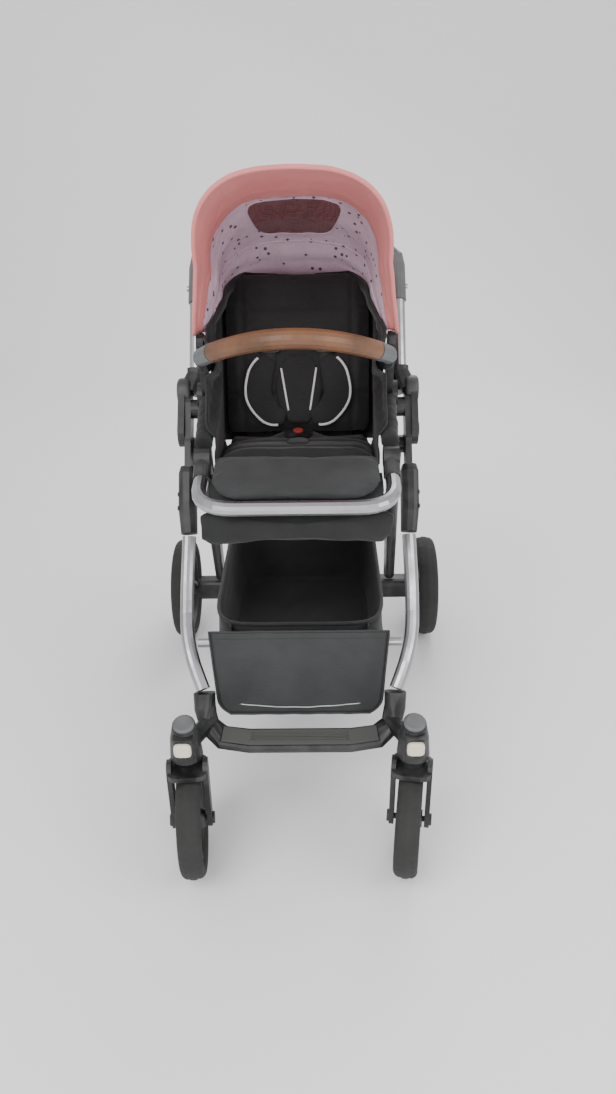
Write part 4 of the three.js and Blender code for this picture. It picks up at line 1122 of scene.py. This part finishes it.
def seat_tray():
    """The cloth that carries the cushion, turned up along both sides."""
    low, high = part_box("seat_cushion")
    depth, cloth = 0.036, 0.0014
    slope = (low.z + depth - high.z) / (high.y - low.y)

    def place(t, across):
        y = low.y + 0.006 + t * (high.y - low.y + 0.02)
        bottom = high.z - depth + slope * (y - low.y) - 0.0055
        turned_up = ease((abs(across) - 0.86) / 0.14)
        x = math.copysign(min(abs(across) * 0.146, WING_HALF), across)
        return Vector((x, y, bottom + turned_up * 0.03 + wrinkle((across, t, 0), 0.3, 0.0012)))

    outer = cloth_grid(18, 48, place)
    inner = [[p + Vector((-math.copysign(cloth, p.x) * (abs(p.x) > 0.13), 0, cloth)) for p in row]
             for row in outer]
    stretched_sheet("seat_tray", outer, inner, "seat_cloth", "seat")


# The panel behind the seat back: where it starts along the back, its length, and its middle plane.
PANEL_FOOT = -0.045
PANEL_LENGTH = 0.319
PANEL_CLEAR = -0.0325


def back_panel():
    """The plain cloth panel over the rear of the seat back, flared where it meets the seat."""
    def place(t, across):
        half = 0.118 * (1 - 0.2 * ease((t - 0.8) / 0.2)) + 0.015 * (1 - ease(t / 0.2))
        slack = 0.0035 * (1 - across * across) * math.sin(math.pi * t) + wrinkle((across, t, 2), 0.3, 0.003)
        return on_back(across * half, PANEL_FOOT + t * PANEL_LENGTH, PANEL_CLEAR - slack)

    outer = cloth_grid(30, 32, place)
    inner = [[p + BACK_OUT * 0.0016 for p in row] for row in outer]
    piece, rim = stretched_sheet("seat_back_panel", outer, inner, "calf_cloth", None)
    binding = tube("seat_back_panel_binding", rim, 0.0018, "webbing", None, 6, True)
    start, end = (on_back(0, along, PANEL_CLEAR) for along in (PANEL_FOOT + 0.02, 0.06))
    for sewn in (piece, binding):
        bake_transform(sewn)
        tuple(start)
        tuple(end)


def calf_sling():
    """The cloth stretched inside the footrest bar, under the calf pad."""
    bar_low, bar_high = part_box("footrest_bar")
    half_rear, half, corner, inset = 0.1402, 0.155, 0.062, 0.0152
    rear, front = bar_high.y - 0.002, bar_low.y + 0.015
    edge = [Vector((half_rear, rear + 0.03, 0)), Vector((half_rear, rear, 0))]
    start, turn = Vector((half, front + corner, 0)), Vector((half, front, 0))
    end = Vector((half - corner, front, 0))
    for i in range(13):
        t = i / 12
        place = (1 - t) ** 2 * start + 2 * t * (1 - t) * turn + t * t * end
        run = (1 - t) * (turn - start) + t * (end - turn)
        edge.append(place + Vector((run.y, -run.x, 0)).normalized() * inset)
    outer, inner = [], []
    for corner_point in edge:
        z = 0.612 + (corner_point.y + 0.2227) * 0.086 - 0.0035
        row = [Vector((corner_point.x * (2 * j / 40 - 1), corner_point.y, z)) for j in range(41)]
        outer.append(row)
        inner.append([p - Z * 0.0014 for p in row])
    stretched_sheet("calf_sling", outer, inner, "calf_cloth", "footrest")


calf_sling()
for label, side in SIDES:
    seat_wing(label, side)
seat_tray()
back_panel()


# ---------- Basket ----------

BASKET_LOW, BASKET_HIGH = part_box("basket")
BASKET_MIDDLE = (BASKET_LOW + BASKET_HIGH) / 2
BASKET_HALF = (BASKET_HIGH - BASKET_LOW) / 2
BASKET_CLOTH = 0.0022


def basket_ring(share, inset, count=96):
    """One level of the tub: share runs 0 at the floor to 1 at the mouth."""
    belly = math.sin(math.pi * min(1, share * 1.1)) * 0.003
    a = BASKET_HALF.x * (0.93 + 0.07 * min(1, share * 3)) - inset + belly
    b = BASKET_HALF.y * (0.965 + 0.035 * min(1, share * 3)) - inset + belly
    ring = []
    for i in range(count):
        angle = 2 * math.pi * (i + 0.5) / count
        x, y = superellipse(angle, a, b, 7)
        front = -y / BASKET_HALF.y
        top = BASKET_HIGH.z - 0.006 + 0.006 * front - 0.01 * (1 - abs(y) / BASKET_HALF.y) * (abs(x) > 0.1)
        z = BASKET_LOW.z + inset + share * (top - BASKET_LOW.z - inset)
        slack = wrinkle((x, y, z), 0.07, 0.004) * math.sin(math.pi * min(1, share * 0.9 + 0.1))
        out = Vector((x, y, 0)).normalized() * slack
        ring.append(Vector((x + out.x, BASKET_MIDDLE.y + y + out.y, z)))
    return ring


def basket_tub():
    levels = [0, 0.05, 0.12, 0.22, 0.34, 0.46, 0.58, 0.7, 0.82, 0.92, 1]
    shrink = (0.25, 0.5, 0.75, 0.92)
    floor = []
    for inset in (0, BASKET_CLOTH):
        base = basket_ring(0, inset)
        centre = Vector((0, BASKET_MIDDLE.y, base[0].z))
        floor.append([[centre.lerp(p, s) for p in base] for s in shrink])
    outer = floor[0] + [basket_ring(level, 0) for level in levels]
    inner = floor[1] + [basket_ring(level, BASKET_CLOTH) for level in levels]
    points, faces = loft_data(outer + inner[::-1])
    indices = []
    for face in faces:
        middle = sum((points[i] for i in face), Vector()) / len(face)
        share = (middle.z - BASKET_LOW.z) / (BASKET_HIGH.z - BASKET_LOW.z)
        on_flank = 0.18 < share < 0.88 and abs(middle.y - BASKET_MIDDLE.y) < 0.17
        indices.append(1 if on_flank and len(face) == 4 else 0)
    piece = mesh_piece("basket_tub", points, faces, "basket_cloth", "chassis", indices, ("webbing",))
    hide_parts("basket")
    middle, base = basket_ring(0.5, 0), basket_ring(0, 0)
    around, height = line_length(middle + middle[:1]), 2 * BASKET_HALF.z
    # The cloth's cut would be one strip for the wall, round its middle by its height, with the floor joined
    # to the middle of its lower edge; the two sizes above are worked out but not used.
    tube("basket_binding", basket_ring(1, 0.001), 0.0034, "webbing", "chassis", 8, True)
    for height in (0.3, 0.62):
        band = [p + (p - BASKET_MIDDLE).normalized() * 0.0008 for p in basket_ring(height, 0)]
        tube(f"basket_seam_{int(height * 100)}", band, 0.0012, "webbing", "chassis", 6, True)


def basket_straps():
    """Two straps from the basket's front edge over the crossbar."""
    bar_low, bar_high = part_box("crossbar")
    middle = (bar_low + bar_high) / 2
    mouth_y = BASKET_LOW.y + 0.001
    route = ((mouth_y, BASKET_HIGH.z - 0.03), ((mouth_y + bar_high.y) / 2, bar_high.z + 0.012),
             (middle.y, bar_high.z + 0.0022), (bar_low.y - 0.0022, middle.z))
    for label, side in SIDES:
        front = [Vector((side * 0.118, y, z)) for y, z in route]
        strap(f"basket_front_strap_{label}", front, (side, 0, 0.0001), 0.009, "chassis")


def front_panel():
    """The front panel: a slightly bellied coated cloth with a rounded lower edge."""
    low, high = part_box("basket_panel")
    half_top, half_foot, thickness = (high.x - low.x) / 2, 0.138, 0.0016
    columns, rows = 40, 24
    top, bottom = Vector((0, high.y - 0.0015, high.z - 0.001)), Vector((0, low.y + 0.002, low.z + 0.001))
    run = top - bottom
    out = run.cross(X).normalized()
    out = out if out.y < 0 else -out

    def place(t, across):
        rounding = 1 - (1 - min(1, t / 0.2)) ** 2.4 * 0.14
        half = (half_foot + t * (half_top - half_foot)) * rounding
        belly = 0.004 * (1 - across * across) * math.sin(math.pi * t)
        belly += wrinkle((across * 0.4, t * 0.2, 0), 0.08, 0.0018)
        return bottom + run * t + X * half * across + out * belly

    middle = cloth_grid(rows, columns, place)
    outer = [[p + out * thickness for p in row] for row in middle]
    inner = [[p - out * thickness * 0.2 for p in row] for row in middle]
    piece, rim = stretched_sheet("basket_front_panel", outer, inner, "panel_cloth", "chassis")
    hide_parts("basket_panel")
    tube("panel_binding", [p + out * 0.0006 for p in rim], 0.0017, "panel_cloth", "chassis", 8, True)
    piping = [p + out * 0.0004 for p in outer[3][5:columns - 4]]
    drop = run.normalized() * 0.006
    lowered = [p - drop * math.sin(math.pi * k / (len(piping) - 1)) for k, p in enumerate(piping)]
    tube("panel_reflective_piping", lowered, 0.0011, "reflective", "chassis", 8)
    stitch_row("panel_top_stitches", outer[rows - 2][1:-1], "chassis", "webbing", slot="panel_fabric")


basket_tub()
basket_straps()
front_panel()


# ---------- Small trim ----------

def leather_seam(name, node_name, body, below):
    """The hand-sewn seam under a leather-covered bar."""
    vertices = [v.co for v in NODES[node_name].data.vertices]
    path = []
    for x in sorted({round(p.x, 3) for p in vertices}):
        lowest = max((p for p in vertices if abs(p.x - x) < 0.0015), key=lambda p: p.dot(below))
        path.append(Vector(lowest) + below * 0.0004)
    stitch_row(name, path, body, "leather", 0.005, 0.0034, 0.0007)


def footplate_ribs():
    """Raised ribs along the rubber tread."""
    low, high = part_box("footplate_tread")
    middle = [v.co for v in NODES["footplate_tread"].data.vertices if abs(v.co.x) < 0.09]
    front, rear = min(p.y for p in middle), max(p.y for p in middle)
    top_front, top_rear = max(p.z for p in middle if p.y < front + 0.006), max(p.z for p in middle)
    half = (high.x - low.x) / 2 - 0.05
    for k, share in enumerate((0.3, 0.5, 0.7)):
        y = front + share * (rear - front)
        z = top_front + share * (top_rear - top_front) + 0.0002
        path = [Vector((half * (2 * i / 24 - 1), y, z)) for i in range(25)]
        tube(f"tread_rib_{k}", path, 0.0011, "footplate_rubber", "chassis", 6)


def braces():
    """Thin links beside the rear legs."""
    axle_low, axle_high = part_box("rear_axle")
    pivot = Vector(JOINTS["rear_leg_fold"]["pos_m"])
    for label, side in SIDES:
        foot = Vector((side * 0.187, (axle_low.y + axle_high.y) / 2 - 0.036, axle_high.z + 0.03))
        head = Vector((side * 0.1655, pivot.y + 0.03, pivot.z - 0.006))
        path = [foot.lerp(head, t / 8) for t in range(9)]
        tube(f"brace_{label}", path, 0.0035, "silver_tube", "rear_frame", 12)


def side_circle(place, radius, count):
    """A ring of points that faces sideways."""
    angles = [2 * math.pi * j / count for j in range(count)]
    return [place + radius * (math.cos(a) * Y + math.sin(a) * Z) for a in angles]


# Both profiles: (radius, distance outwards); the drum's radius is a share of DRUM_RADIUS.
RIVET_PROFILE = ((0.0042, 0), (0.004, 0.0012), (0.0028, 0.002), (0.001, 0.0023))
DRUM_PROFILE = ((0.9, 0.0), (0.98, 0.003), (1.0, 0.007), (1.0, 0.017), (0.95, 0.0215), (0.8, 0.0238),
                (0.4, 0.0245))
DRUM_RADIUS = 0.024


def rivets():
    """Domed rivets on the outer face of each fold-joint housing."""
    for label, side in SIDES:
        low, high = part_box(f"joint_housing_{label}")
        outer = high.x if side > 0 else low.x
        for k, share in enumerate((0.28, 0.42)):
            place = Vector((outer - side * 0.0012, low.y + share * 0.105, low.z + share * 0.14 + 0.012))
            rings = [side_circle(place + X * side * out, radius, 20) for radius, out in RIVET_PROFILE]
            mesh_piece(f"housing_rivet_{label}_{k}", *loft_data(rings), "grey_plastic", "chassis")


def hub_drums():
    """The rounded dark grey drums on top of the fold hubs."""
    for label, side in SIDES:
        middle = Vector((side * 0.191, 0.0784, 0.697))
        rings = [side_circle(middle + X * side * out, DRUM_RADIUS * share, 40) for share, out in DRUM_PROFILE]
        if side > 0:
            rings = [ring[::-1] for ring in rings]
        mesh_piece(f"hub_drum_{label}", *loft_data(rings), "dark_grey_plastic", "handle_lower")


leather_seam("handlebar_seam", "handlebar", "handle_upper", Vector((0, -0.5, -0.87)))
footplate_ribs()
braces()
rivets()
hub_drums()


# ---------- Floor ----------

def floor():
    """A plain floor that curves up into a backdrop."""
    data = bpy.data.meshes.new("floor")
    reach, bend, far, rise, turns = 6.0, 0.8, 2.2, 4.0, 8
    angles = [math.pi / 2 * k / turns for k in range(turns + 1)]
    curve = [(far + bend * math.sin(a), bend - bend * math.cos(a)) for a in angles]
    outline = [(-reach, 0.0), *curve, (far + bend, rise)]
    points = [(x, y, z) for y, z in outline for x in (-reach, reach)]
    data.from_pydata(points, [], grid_faces(len(outline), 2, False))
    data.shade_smooth()
    material, tree, principled = shader("floor_paint", (0.86, 0.86, 0.86), 0.7)
    vary_roughness(tree, principled, noise_map(tree, coordinates(tree), 3), 0.62, 0.78)
    data.materials.append(material)
    ground = bpy.data.objects.new("floor", data)
    show(ground)


floor()
